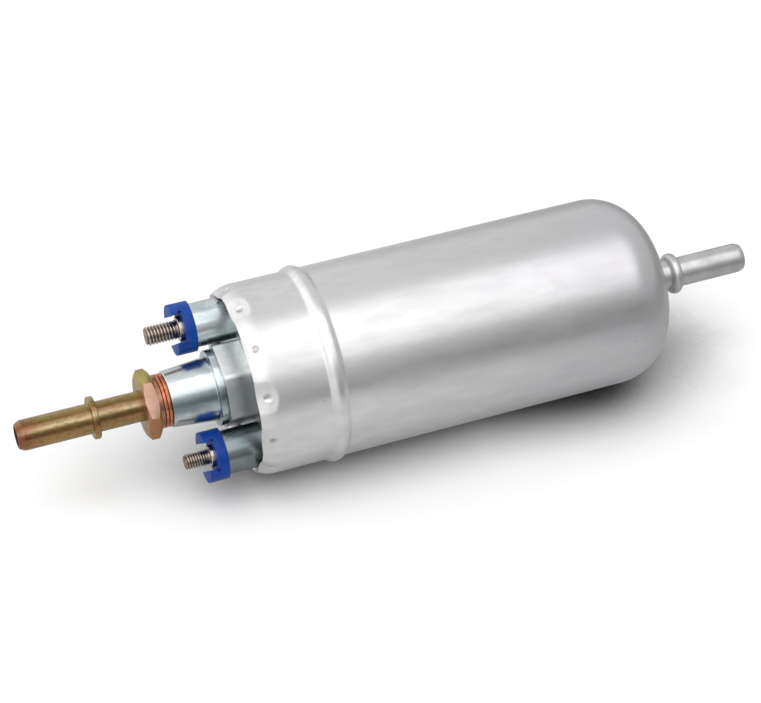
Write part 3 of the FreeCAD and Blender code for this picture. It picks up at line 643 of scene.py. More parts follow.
@dataclass(frozen=True)
class ChromateFinish:
    """Yellow chromate: angle bands give the film's colour, and can paint highlight and shade."""

    name: str
    bands: tuple[tuple[float, Colour], ...]
    steps: bool = False
    wander: float = 0.05
    roughness: float = 0.3
    mottle: float = 0.45
    rim: float = -200.0
    rim_length: float = 9.0
    rim_share: float = 0.6
    olive: Colour = paint(150, 132, 70)
    pink: Colour = paint(182, 130, 104)
    brown: Colour = paint(98, 76, 46)
    red: Colour = paint(138, 68, 60)
    drift: Pattern = Pattern(4.0, 4.0, (4.0, 1.0, 1.0))
    cloud: Pattern = Pattern(2.2, 5.0, (2.5, 1.0, 1.0), (0.05, 0.02, 0.01))
    cloud_reach: Reach = (0.35, 0.75, 0.05, 0.4)
    fine: Pattern = Pattern(0.8, 3.0, (2.0, 1.0, 1.0), (0.03, 0.07, 0.05))
    grain: Pattern = Pattern(0.35)
    depth: float = 0.004

    def build(self) -> bpy.types.Material:
        """Make the material.

        Returns:
            The material.
        """
        board = SurfaceBoard(self.name)
        shift = board.share(board.math("SUBTRACT", board.noise(self.drift), 0.5), self.wander)
        place = board.math("ADD", board.around(), shift)
        bands = board.ramp(place, [(turn_share(angle), colour) for angle, colour in self.bands],
                           self.steps)
        cloud = board.noise(self.cloud)
        flecks = board.ramp(cloud, [(0.3, self.olive), (0.7, self.pink)])
        film = board.blend(board.span(cloud, *self.cloud_reach), bands, flecks)
        fine = board.span(board.noise(self.fine), 0.45, 0.7, 0.0, self.mottle)
        film = board.blend(fine, film, self.brown)
        ending = board.span(board.along(), self.rim * MM, (self.rim + self.rim_length) * MM,
                            self.rim_share, 0.0)
        board.drive("Base Color", board.blend(ending, film, self.red))
        board.constant("Metallic", 1.0)
        board.drive("Roughness", board.span(cloud, 0.3, 0.7, self.roughness - 0.05,
                                            self.roughness + 0.07))
        board.relief(board.noise(self.grain), self.depth)
        return board.material


# Shapes


class Turning:
    """A lathe: a profile drawn through the axis, then spun about X."""

    CORNER_STEPS = 4

    def __init__(self, x: float, radius: float) -> None:
        """Start the profile at a point.

        Args:
            x: The point's place along the axis.
            radius: Its distance from the axis.
        """
        self.shape = bmesh.new()
        self.tip = self.shape.verts.new(self.point(x, radius))
        self.start = self.tip
        self.rounds: list[tuple[bmesh.types.BMVert, float]] = []

    @staticmethod
    def point(x: float, radius: float) -> Vector:
        """The place of a profile point, in metres."""
        return Vector((x * MM, 0.0, radius * MM))

    def line(self, x: float, radius: float, corner: float = 0.0, pieces: int = 1) -> "Turning":
        """Go on straight to a point.

        Args:
            x: The point's place along the axis.
            radius: Its distance from the axis.
            corner: The radius that rounds the corner there, or 0.
            pieces: How many equal edges the line has.

        Returns:
            The lathe itself.
        """
        first = self.tip.co.copy()
        last = self.point(x, radius)
        for step in range(1, pieces + 1):
            made = bmesh.ops.extrude_vert_indiv(self.shape, verts=[self.tip])
            self.tip = made["verts"][0]
            self.tip.co = first.lerp(last, step / pieces)
        if corner:
            self.rounds.append((self.tip, corner))
        return self

    def arc(self, centre_x: float, centre_radius: float, turn: float, steps: int) -> "Turning":
        """Swing the profile's end about a centre.

        Args:
            centre_x: The centre's place along the axis.
            centre_radius: Its distance from the axis.
            turn: The angle, positive from +Z towards +X.
            steps: The number of edges.

        Returns:
            The lathe itself.
        """
        made = bmesh.ops.spin(self.shape, geom=[self.tip], cent=self.point(centre_x, centre_radius),
                              axis=SIDEWAYS, dvec=ORIGIN, angle=math.radians(turn), steps=steps,
                              use_duplicate=False)
        self.tip = [item for item in made["geom_last"] if isinstance(item, bmesh.types.BMVert)][0]
        return self

    def close(self) -> "Turning":
        """Join the profile's end to its start.

        Returns:
            The lathe itself.
        """
        self.shape.edges.new((self.tip, self.start))
        return self

    def spun(self, steps: int = 96) -> bmesh.types.BMesh:
        """Round the corners and spin the profile once about the axis.

        Args:
            steps: The number of faces around.

        Returns:
            The closed shape, its normals outward.
        """
        for corner, radius in self.rounds:
            ways = [edge.other_vert(corner).co - corner.co for edge in corner.link_edges]
            reach = radius * MM / math.tan(ways[0].angle(ways[1]) / 2)
            bmesh.ops.bevel(self.shape, geom=[corner], offset=reach, offset_type="OFFSET",
                            affect="VERTICES", segments=self.CORNER_STEPS, profile=0.5,
                            material=-1)
        geometry = self.shape.verts[:] + self.shape.edges[:]
        bmesh.ops.spin(self.shape, geom=geometry, cent=ORIGIN, axis=LENGTHWISE, dvec=ORIGIN,
                       angle=FULL_TURN, steps=steps, use_merge=True, use_duplicate=False)
        bmesh.ops.remove_doubles(self.shape, verts=self.shape.verts[:], dist=SAME_PLACE)
        bmesh.ops.recalc_face_normals(self.shape, faces=self.shape.faces[:])
        return self.shape


def turned_tube(start: float, end: float, outer: float, inner: float, corner: float,
                steps: int = 96) -> bmesh.types.BMesh:
    """Make a plain tube about the axis with its outer corners rounded.

    Args:
        start: Where it starts along the axis.
        end: Where it ends.
        outer: The outer radius.
        inner: The bore's radius.
        corner: The radius of the outer corners.
        steps: The number of faces around.

    Returns:
        The tube.
    """
    lathe = Turning(start, inner).line(start, outer, corner).line(end, outer, corner)
    return lathe.line(end, inner).close().spun(steps)


def threaded_length(tip: float, end: float, radius: float, pitch: float,
                    chamfer: float) -> bmesh.types.BMesh:
    """Cut a thread: one row of teeth spun along the axis, trimmed, with a chamfered tip.

    Args:
        tip: Where the thread's free end lies.
        end: Where it stops.
        radius: The thread's outer radius.
        pitch: The distance from thread to thread.
        chamfer: The tip's chamfer.

    Returns:
        The closed threaded rod.
    """
    root = radius - THREAD_DEPTH * pitch
    lathe = Turning(tip - 2 * pitch, root)
    tooth = ((0.06, root), (0.34, radius), (0.62, radius), (0.90, root), (1.0, root))
    for number in range(int((end - tip) / pitch) + 4):
        foot = tip + (number - 2) * pitch
        for share, height in tooth:
            lathe.line(foot + share * pitch, height)
    shape = lathe.shape
    steps, seam = 40, 20 * SAME_PLACE
    bmesh.ops.spin(shape, geom=shape.verts[:] + shape.edges[:], cent=ORIGIN, axis=LENGTHWISE,
                   dvec=(pitch * MM / steps, 0.0, 0.0), angle=FULL_TURN, steps=steps,
                   use_duplicate=False)
    bmesh.ops.remove_doubles(shape, verts=shape.verts[:], dist=seam)
    for x, way in ((tip, -1.0), (end, 1.0)):
        geometry = shape.verts[:] + shape.edges[:] + shape.faces[:]
        cut = bmesh.ops.bisect_plane(shape, geom=geometry, dist=SAME_PLACE,
                                     plane_co=(x * MM, 0.0, 0.0), plane_no=(way, 0.0, 0.0),
                                     clear_outer=True)
        rim = [item for item in cut["geom_cut"] if isinstance(item, bmesh.types.BMEdge)]
        bmesh.ops.holes_fill(shape, edges=rim, sides=0)
    for vertex in shape.verts:
        room = (radius - chamfer) * MM + (vertex.co.x - tip * MM)
        around = math.hypot(vertex.co.y, vertex.co.z)
        if around > room:
            vertex.co.y *= room / around
            vertex.co.z *= room / around
    bmesh.ops.recalc_face_normals(shape, faces=shape.faces[:])
    return shape


def moved(shape: bmesh.types.BMesh, offset: float, angle: float) -> bmesh.types.BMesh:
    """Set a shape off the axis and roll it about the axis.

    Args:
        shape: The shape, which is changed.
        offset: How far it moves along +Z.
        angle: The roll, in degrees.

    Returns:
        The same shape.
    """
    roll = Matrix.Rotation(math.radians(angle), 4, "X")
    lift = Matrix.Translation((0.0, 0.0, offset * MM))
    bmesh.ops.transform(shape, matrix=roll @ lift, verts=shape.verts[:])
    return shape


def at_terminal(shape: bmesh.types.BMesh, side: Side) -> bmesh.types.BMesh:
    """Set a shape made on the pump's axis in one of the terminals' places."""
    return moved(shape, TERMINAL_OFFSET, TERMINAL_ROLL + side.value)


def bar(start: float, end: float, across: float, sides: int, roll: float) -> bmesh.types.BMesh:
    """Make a straight bar about the axis with flat sides.

    Args:
        start: Where it starts along the axis.
        end: Where it ends.
        across: Its width across flats.
        sides: The number of flats.
        roll: Where the first flat faces.

    Returns:
        The bar.
    """
    shape = bmesh.new()
    corner = across / 2 / math.cos(math.pi / sides) * MM
    bmesh.ops.create_cone(shape, cap_ends=True, segments=sides, radius1=corner, radius2=corner,
                          depth=(end - start) * MM)
    first = max(shape.verts, key=lambda vertex: vertex.co.y)
    lead = math.atan2(first.co.x, first.co.y)
    square = Matrix.Rotation(lead + math.pi / sides, 4, "Z")
    stand = Matrix.Rotation(math.radians(90), 4, "Z") @ Matrix.Rotation(math.radians(90), 4, "X")
    slide = Matrix.Translation(((start + end) / 2 * MM, 0.0, 0.0))
    turn = Matrix.Rotation(math.radians(roll), 4, "X")
    bmesh.ops.transform(shape, matrix=slide @ turn @ stand @ square, verts=shape.verts[:])
    return shape


def block(low: Triple, high: Triple) -> bmesh.types.BMesh:
    """Make a box between two corners.

    Args:
        low: The lowest corner.
        high: The highest corner.

    Returns:
        The box.
    """
    shape = bmesh.new()
    bmesh.ops.create_cube(shape, size=1.0)
    size = [(far - near) * MM for near, far in zip(low, high)]
    middle = [(far + near) / 2 * MM for near, far in zip(low, high)]
    place = Matrix.Translation(middle) @ Matrix.Diagonal((*size, 1.0))
    bmesh.ops.transform(shape, matrix=place, verts=shape.verts[:])
    return shape


def soften(shape: bmesh.types.BMesh, width: float, sharper_than: float, segments: int = 3,
           blunter_than: float = 180.0) -> None:
    """Round the sharp edges of a shape.

    Args:
        shape: The shape, which is changed.
        width: How far the rounding reaches from an edge.
        sharper_than: The smallest angle between two faces that counts as an edge.
        segments: The number of faces across the rounding.
        blunter_than: The largest angle that is rounded.
    """
    least, most = math.radians(sharper_than), math.radians(blunter_than)
    edges = [edge for edge in shape.edges
             if edge.is_manifold and least < edge.calc_face_angle() < most]
    bmesh.ops.bevel(shape, geom=edges, offset=width * MM, offset_type="OFFSET", affect="EDGES",
                    segments=segments, profile=0.5, material=-1, clamp_overlap=True)


def as_object(name: str, shape: bmesh.types.BMesh) -> bpy.types.Object:
    """Put a shape into the scene.

    Args:
        name: The object's name.
        shape: The shape, which is freed.

    Returns:
        The new object.
    """
    mesh = bpy.data.meshes.new(name)
    shape.to_mesh(mesh)
    shape.free()
    piece = bpy.data.objects.new(name, mesh)
    bpy.context.scene.collection.objects.link(piece)
    return piece


def carved(shape: bmesh.types.BMesh, others: list[bmesh.types.BMesh],
           how: Carve) -> bmesh.types.BMesh:
    """Cut other shapes out of a shape, or keep what it shares with them.

    Args:
        shape: The shape to work on.
        others: The other shapes.
        how: What is done with them.

    Returns:
        The result.
    """
    body = as_object("carved", shape)
    tools = [as_object("carver", other) for other in others]
    for tool in tools:
        step = body.modifiers.new("carve", "BOOLEAN")
        step.operation = how.value
        step.solver = "EXACT"
        step.object = tool
    graph = bpy.context.evaluated_depsgraph_get()
    made = bpy.data.meshes.new_from_object(body.evaluated_get(graph))
    result = bmesh.new()
    result.from_mesh(made)
    for item in [body] + tools:
        mesh = item.data
        bpy.data.objects.remove(item)
        bpy.data.meshes.remove(mesh)
    bpy.data.meshes.remove(made)
    bmesh.ops.remove_doubles(result, verts=result.verts[:], dist=10 * SAME_PLACE)
    bmesh.ops.dissolve_limit(result, angle_limit=math.radians(0.5), verts=result.verts[:],
                             edges=result.edges[:])
    return result


def gathered(shapes: list[bmesh.types.BMesh]) -> bmesh.types.BMesh:
    """Put several closed shapes together, each keeping its own faces.

    Args:
        shapes: The shapes, which are freed.

    Returns:
        All of them as one.
    """
    whole = bmesh.new()
    for shape in shapes:
        mesh = bpy.data.meshes.new("part")
        shape.to_mesh(mesh)
        shape.free()
        whole.from_mesh(mesh)
        bpy.data.meshes.remove(mesh)
    return whole


def smooth_object(name: str, shape: bmesh.types.BMesh, materials: list[bpy.types.Material],
                  crease: float = CREASE) -> bpy.types.Object:
    """Put a shape into the scene with smooth shading and its finishes.

    Args:
        name: The object's name.
        shape: The shape, which is freed.
        materials: Its finishes.
        crease: The angle between faces from which an edge stays sharp.

    Returns:
        The new object.
    """
    for face in shape.faces:
        face.smooth = True
    piece = as_object(name, shape)
    piece.data.set_sharp_from_angle(angle=math.radians(crease))
    for material in materials:
        piece.data.materials.append(material)
    return piece


def hand_over(name: str, shape: bmesh.types.BMesh, materials: list[bpy.types.Material],
              node: str) -> bpy.types.Object:
    """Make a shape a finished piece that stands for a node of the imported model.

    Args:
        name: The piece's name.
        shape: Its shape.
        materials: Its finishes.
        node: The node that it replaces, whose body it rides on.

    Returns:
        The piece.
    """
    piece = smooth_object(name, shape, materials)
    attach(piece, frame["nodes"][node]["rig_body"])
    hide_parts(node)
    LOG.info("%s: %d faces, stands for %s", name, len(piece.data.polygons), node)
    return piece


# The pump's outer pieces


@dataclass
class Can:
    """The drawn can: curled lip with its stake marks, ridge, barrel and domed end."""

    radius: float = 30.0
    wall: float = 1.2
    lip_start: float = -70.4
    lip_radius: float = 10.6
    lip_turn: float = 33.0
    lip_land: float = 4.5
    ridge_start: float = -54.4
    ridge_end: float = -48.0
    ridge_height: float = 1.2
    ridge_foot: float = 1.5
    dome_start: float = 46.6
    knuckle: float = 17.0
    crown: float = 84.0
    hole: float = 4.8
    mark_x: float = -73.07
    mark_count: int = 12
    mark_radius: float = 1.2
    mark_depth: float = 0.5
    mark_reach: float = 9.0
    burr_height: float = 0.05
    burr_gap: float = 0.35
    burr_width: float = 0.4
    hollow_length: float = 3.0
    hollow_width: float = 5.2
    hollow_depth: float = 0.72
    hollow_fall: float = 0.16
    steps: int = 432
    finish: DrawnCanFinish = DrawnCanFinish()

    def profile(self) -> Turning:
        """Draw the wall's outline, outside and inside.

        Returns:
            The lathe with the closed profile.
        """
        lean = math.degrees(math.acos((self.radius - self.knuckle) / (self.crown - self.knuckle)))
        crown_x = self.dome_start - (self.crown - self.knuckle) * math.sin(math.radians(lean))
        centre = self.radius - self.lip_radius
        turn = math.radians(self.lip_turn)
        lathe = Turning(self.lip_start - self.lip_radius * math.sin(turn),
                        centre + self.lip_radius * math.cos(turn))
        lathe.arc(self.lip_start, centre, self.lip_turn, 20)
        lathe.line(self.lip_start + self.lip_land, self.radius, pieces=12)
        self.ridge(lathe, self.radius, 1.0)
        lathe.line(self.dome_start, self.radius)
        lathe.arc(self.dome_start, self.radius - self.knuckle, lean, 22)
        pole = math.degrees(math.asin(self.hole / self.crown))
        lathe.arc(crown_x, 0.0, 90.0 - lean - pole, 8)
        inner_crown = self.crown - self.wall
        inner_pole = math.degrees(math.asin(self.hole / inner_crown))
        lathe.line(crown_x + inner_crown * math.cos(math.radians(inner_pole)), self.hole)
        lathe.arc(crown_x, 0.0, lean + inner_pole - 90.0, 8)
        lathe.arc(self.dome_start, self.radius - self.knuckle, -lean, 16)
        inner = self.radius - self.wall
        self.ridge(lathe, inner, -1.0)
        lathe.line(self.lip_start, inner)
        lathe.arc(self.lip_start, centre, -self.lip_turn, 10)
        return lathe.close()

    def ridge(self, lathe: Turning, radius: float, way: float) -> None:
        """Draw the ridge into the profile.

        Args:
            lathe: The profile.
            radius: The barrel's radius on this face of the wall.
            way: 1 towards the dome, -1 towards the mouth.
        """
        ends = (self.ridge_start, self.ridge_end)
        near, far = ends if way > 0 else ends[::-1]
        half = (ends[1] - ends[0]) / 2
        lean = 2 * math.atan(self.ridge_height / half)
        crest = half / math.sin(lean) - self.ridge_foot
        slope = math.degrees(lean) * way
        lathe.line(near, radius)
        lathe.arc(near, radius + self.ridge_foot, -slope, 5)
        lathe.arc((near + far) / 2, radius + self.ridge_height - crest, 2 * slope, 16)
        lathe.arc(far, radius + self.ridge_foot, -slope, 5)

    def stake(self, shape: bmesh.types.BMesh) -> None:
        """Press the stake marks into the outer face of the lip.

        Args:
            shape: The can's shape, which is changed.
        """
        # The pit layer holds where the can's finish paints shade into each stake pit.
        dirt_and_pit_shade = shape.verts.layers.float.new("pit")
        for vertex in shape.verts:
            x = vertex.co.x / MM
            radius = math.hypot(vertex.co.y, vertex.co.z) / MM
            if x > self.mark_x + self.mark_reach or radius < self.outer_radius(x) - self.wall / 4:
                continue
            share = math.atan2(-vertex.co.y, vertex.co.z) / FULL_TURN * self.mark_count
            aside = (share - round(share)) / self.mark_count * FULL_TURN * radius
            away = math.hypot(x - self.mark_x, aside)
            pit = self.mark_depth * max(0.0, 1.0 - (away / self.mark_radius) ** 2) ** 0.7
            vertex[dirt_and_pit_shade] = max(0.0, 1.0 - (away / self.mark_radius) ** 2)
            past = (away - self.mark_radius - self.burr_gap) / self.burr_width
            burr = self.burr_height * math.exp(-past ** 2)
            ahead = max(0.0, self.mark_x - x)
            spread = math.hypot(max(0.0, x - self.mark_x) / self.hollow_length,
                                aside / self.hollow_width)
            deep = self.hollow_depth + self.hollow_fall * ahead
            hollow = deep * max(0.0, 1.0 - spread ** 2) ** 1.2
            factor = 1.0 - (pit + hollow - burr) / radius
            vertex.co.y *= factor
            vertex.co.z *= factor

    def outer_radius(self, x: float) -> float:
        """Work out the outer face's radius near the lip, before the marks.

        Args:
            x: The place along the axis.

        Returns:
            The radius there.
        """
        if x > self.lip_start:
            return self.radius
        drop = min(1.0, (self.lip_start - x) / self.lip_radius)
        return self.radius - self.lip_radius * (1.0 - math.cos(math.asin(drop)))

    def build(self) -> bpy.types.Object:
        """Make the can.

        Returns:
            The piece.
        """
        shape = self.profile().spun(self.steps)
        self.stake(shape)
        return hand_over("can_shell", shape, [self.finish.build()], "housing_can")


@dataclass
class InletSpigot:
    """The hose spigot in the dome, with its swaged foot and its full-round bead."""

    flange_length: float = 2.0
    flange_radius: float = 9.0
    dome: float = 64.92
    swage_radius: float = 6.3
    swage_end: float = 66.12
    bead_start: float = 70.57
    bead_width: float = 3.8
    nose: float = 1.7
    nose_drop: float = 0.65
    bore: float = 3.4
    finish: MetalFinish = MetalFinish("blasted_aluminium", paint(220, 219, 220),
                                      paint(196, 195, 196), 0.38, grain=0.2, depth=0.01)

    def build(self) -> bpy.types.Object:
        """Make the spigot.

        Returns:
            The piece.
        """
        low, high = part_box("inlet_spigot")
        foot, tip = low.x / MM, high.x / MM
        half = self.bead_width / 2
        crest = BEAD_RADIUS - half
        lathe = Turning(foot, self.bore).line(foot, self.flange_radius, 0.3)
        lathe.line(foot + self.flange_length, self.flange_radius, 0.3)
        lathe.line(foot + self.flange_length, HOSE_RADIUS)
        lathe.line(self.dome, HOSE_RADIUS).line(self.dome, self.swage_radius)
        lathe.line(self.swage_end, self.swage_radius, 0.6)
        lathe.line(self.swage_end, HOSE_RADIUS, 0.25)
        lathe.line(self.bead_start, HOSE_RADIUS, 0.35).line(self.bead_start, crest)
        lathe.arc(self.bead_start + half, crest, 180.0, 16)
        lathe.line(self.bead_start + self.bead_width, HOSE_RADIUS, 0.35)
        lathe.line(tip - self.nose, HOSE_RADIUS, 1.2)
        lathe.line(tip, HOSE_RADIUS - self.nose_drop, 0.45)
        lathe.line(tip, self.bore, 0.12)
        shape = lathe.close().spun(112)
        return hand_over("inlet_hose_end", shape, [self.finish.build()],
                         "inlet_spigot")


@dataclass
class EndCover:
    """The matt plated cover: flange, plateau and hexagonal boss, bored for the towers."""

    flange: float = 28.5
    flange_front: float = -68.85
    groove_start: float = 2.3
    groove_end: float = 5.0
    groove_depth: float = 2.0
    plateau: float = 27.23
    across_flats: float = 24.0
    boss_roll: float = -51.5
    corner: float = 1.1
    edge: float = 0.25
    stem_hole: float = 7.55
    back_bore: float = 10.0
    foot_hole: float = 5.85
    sleeve_hole: float = 4.6
    over: float = 1.0
    # Painted shade: the bands darken the boss's lower facets, and a little of its back.
    finish: PlatedFinish = PlatedFinish(
        "matt_zinc_plate", paint(244, 247, 247), paint(230, 234, 234), 0.4, patch=3.0,
        depth=0.01, dark=paint(124, 132, 134),
        painted_shades=((-60.0, 0.3), (-21.0, 0.0), (34.0, 0.0), (54.0, 0.6), (90.0, 0.6),
                (104.0, 0.4), (150.0, 0.4)))

    def disc(self) -> bmesh.types.BMesh:
        """Turn the flange and plateau and bore the seats of the towers.

        Returns:
            The disc.
        """
        near, far = COVER_BACK - self.groove_start, COVER_BACK - self.groove_end
        floor = self.flange - self.groove_depth
        lathe = Turning(COVER_BACK, self.back_bore).line(COVER_BACK, self.flange, 0.3)
        lathe.line(near, self.flange).line(near, floor).line(far, floor).line(far, self.flange)
        lathe.line(self.flange_front, self.flange).line(self.flange_front, self.plateau)
        lathe.line(COVER_FACE, self.plateau, 0.4).line(COVER_FACE, self.stem_hole)
        lathe.line(STEM_END, self.stem_hole).line(STEM_END, self.back_bore)
        bores = ((COVER_FACE - self.over, FOOT_END, self.foot_hole),
                 (FOOT_END - self.over, COVER_BACK + self.over, self.sleeve_hole))
        holes = [at_terminal(bar(start, end, 2 * radius, 48, 0.0), side)
                 for side in Side for start, end, radius in bores]
        return carved(lathe.close().spun(144), holes, Carve.CUT)

    def boss(self) -> bmesh.types.BMesh:
        """Make the hexagon, bored for the outlet tower's stem.

        Returns:
            The boss.
        """
        prism = bar(BOSS_FRONT, COVER_FACE, self.across_flats, 6, self.boss_roll)
        soften(prism, self.corner, 50.0, 6, 70.0)
        hole = bar(BOSS_FRONT - self.over, COVER_FACE + self.over, 2 * self.stem_hole, 72, 0.0)
        shape = carved(prism, [hole], Carve.CUT)
        soften(shape, self.edge, 75.0)
        return shape

    def build(self) -> bpy.types.Object:
        """Make the cover.

        Returns:
            The piece.
        """
        return hand_over("matt_cover", gathered([self.disc(), self.boss()]),
                         [self.finish.build()], "end_cover")


@dataclass
class Towers:
    """The bright plated towers that stand on the cover: one for the outlet, two for terminals."""

    stem_radius: float = 7.5
    collar_front: float = -83.6
    collar_radius: float = 11.95
    collar_fillet: float = 0.6
    root: float = 10.0
    tip_radius: float = 8.8
    thread_radius: float = 6.05
    valve_bore: float = 5.0
    radius: float = 6.9
    bore: float = 4.6
    foot_radius: float = 5.8
    # Painted reflection: the bands darken the tower in a band below its highlight, and a little
    # elsewhere.
    outlet_finish: PlatedFinish = PlatedFinish(
        "bright_zinc_outlet", paint(236, 243, 245), paint(206, 217, 220), 0.25, spread=0.04,
        patch=4.0, patch_stretch=(1.6, 1.0, 1.0), grain=0.5, depth=0.006,
        painted_shades=((-30.0, 0.2), (10.0, 0.25), (22.0, 0.0), (36.0, 0.0), (48.0, 0.45), (62.0, 0.85),
                (76.0, 0.8), (92.0, 0.3), (106.0, 0.3), (120.0, 0.5), (150.0, 0.2)))
    # Painted shade: the towers go very dark on the sides close to the pump's axis, facing the boss.
    terminal_finish: PlatedFinish = PlatedFinish(
        "bright_zinc_terminals", paint(228, 236, 238), paint(190, 202, 206), 0.25, spread=0.04,
        patch=4.0, patch_stretch=(1.6, 1.0, 1.0), grain=0.5, depth=0.006,
        dark=paint(44, 62, 66), recess_shade=(13.6, 16.9))

    def outlet(self) -> bpy.types.Object:
        """Make the tapered tower of the outlet, with its collar and stem.

        Returns:
            The piece.
        """
        lathe = Turning(STEM_END, self.valve_bore).line(STEM_END, self.stem_radius)
        lathe.line(BOSS_FRONT, self.stem_radius).line(BOSS_FRONT, self.collar_radius, 0.25)
        lathe.line(self.collar_front, self.collar_radius, 0.12)
        hollow = self.root + self.collar_fillet
        lathe.line(self.collar_front, hollow)
        lathe.arc(self.collar_front - self.collar_fillet, hollow, 90.0, 10)
        lathe.line(OUTLET_TIP, self.tip_radius, 0.45)
        lathe.line(OUTLET_TIP, self.thread_radius, 0.3)
        lathe.line(THREAD_END, self.thread_radius).line(THREAD_END, self.valve_bore)
        return hand_over("outlet_tower_turning", lathe.close().spun(144),
                         [self.outlet_finish.build()], "outlet_tower")

    def terminals(self) -> bpy.types.Object:
        """Make the two towers that carry the terminals.

        Returns:
            The piece.
        """
        shapes = []
        for side in Side:
            lathe = Turning(TERMINAL_FACE, self.bore).line(TERMINAL_FACE, self.radius, 0.3)
            lathe.line(COVER_FACE, self.radius).line(COVER_FACE, self.foot_radius)
            lathe.line(FOOT_END, self.foot_radius).line(FOOT_END, self.bore)
            shapes.append(at_terminal(lathe.close().spun(80), side))
        return hand_over("terminal_tower_turnings", gathered(shapes),
                         [self.terminal_finish.build()], "terminal_towers")


@dataclass
class Terminal:
    """One terminal: a blue insulator with two claws, and the threaded stud that stands in it."""

    name: str
    side: Side
    stud_radius: float
    pitch: float
    thread: float
    radius: float = 8.0
    base: float = 3.0
    claw: float = 3.2
    slot: float = 8.8
    undercut: float = 10.2
    undercut_height: float = 1.1
    edge: float = 0.22
    sleeve_gap: float = 0.1
    sleeve_radius: float = 4.5
    sleeve_end: float = -66.05
    collar_step: float = 1.0
    collar_height: float = 1.4
    neck_height: float = 0.8
    neck_drop: float = 0.3
    chamfer: float = 0.5
    head_radius: float = 5.2
    head_start: float = -62.65

    @property
    def base_x(self) -> float:
        """Where the stud's collar stands on the insulator."""
        return TERMINAL_FACE - self.base

    def insulator(self, material: bpy.types.Material) -> bpy.types.Object:
        """Make the insulator.

        Args:
            material: Its finish.

        Returns:
            The piece.
        """
        foot = self.base_x
        tip = foot - self.claw
        bore = self.stud_radius + self.sleeve_gap
        lathe = Turning(tip, bore).line(tip, self.radius).line(TERMINAL_FACE, self.radius)
        lathe.line(TERMINAL_FACE, self.sleeve_radius).line(self.sleeve_end, self.sleeve_radius)
        body = lathe.line(self.sleeve_end, bore).close().spun(96)
        wide = self.radius + 1.0
        slot = block((tip - 1.0, -wide, -self.slot / 2), (foot, wide, self.slot / 2))
        under = block((foot - self.undercut_height, -wide, -self.undercut / 2),
                      (foot, wide, self.undercut / 2))
        shape = carved(body, [slot, under], Carve.CUT)
        soften(shape, self.edge, 38.0)
        return hand_over(self.name + "_insulator_moulding", at_terminal(shape, self.side),
                         [material], self.name + "_insulator")

    def stud(self) -> bpy.types.Object:
        """Make the stud with its cut thread.

        Returns:
            The piece.
        """
        finish = ThreadFinish(self.name + "_nickel_plate", self.side, self.stud_radius,
                              self.stud_radius - THREAD_DEPTH * self.pitch)
        foot = self.base_x
        collar = foot - self.collar_height
        start = collar - self.neck_height
        neck = self.stud_radius - self.neck_drop * self.pitch
        wide = self.stud_radius + self.collar_step
        thread = threaded_length(collar - self.thread, collar - self.neck_height / 2,
                                 self.stud_radius, self.pitch, self.chamfer)
        lathe = Turning(start, 0.0).line(start, neck).line(collar, neck, 0.3)
        lathe.line(collar, wide, 0.5).line(foot, wide)
        lathe.line(foot, self.stud_radius).line(self.head_start, self.stud_radius)
        lathe.line(self.head_start, self.head_radius).line(COVER_BACK, self.head_radius)
        shank = lathe.line(COVER_BACK, 0.0).spun(64)
        return hand_over(self.name + "_threaded_stud",
                         at_terminal(gathered([thread, shank]), self.side),
                         [finish.build()], self.name + "_stud")


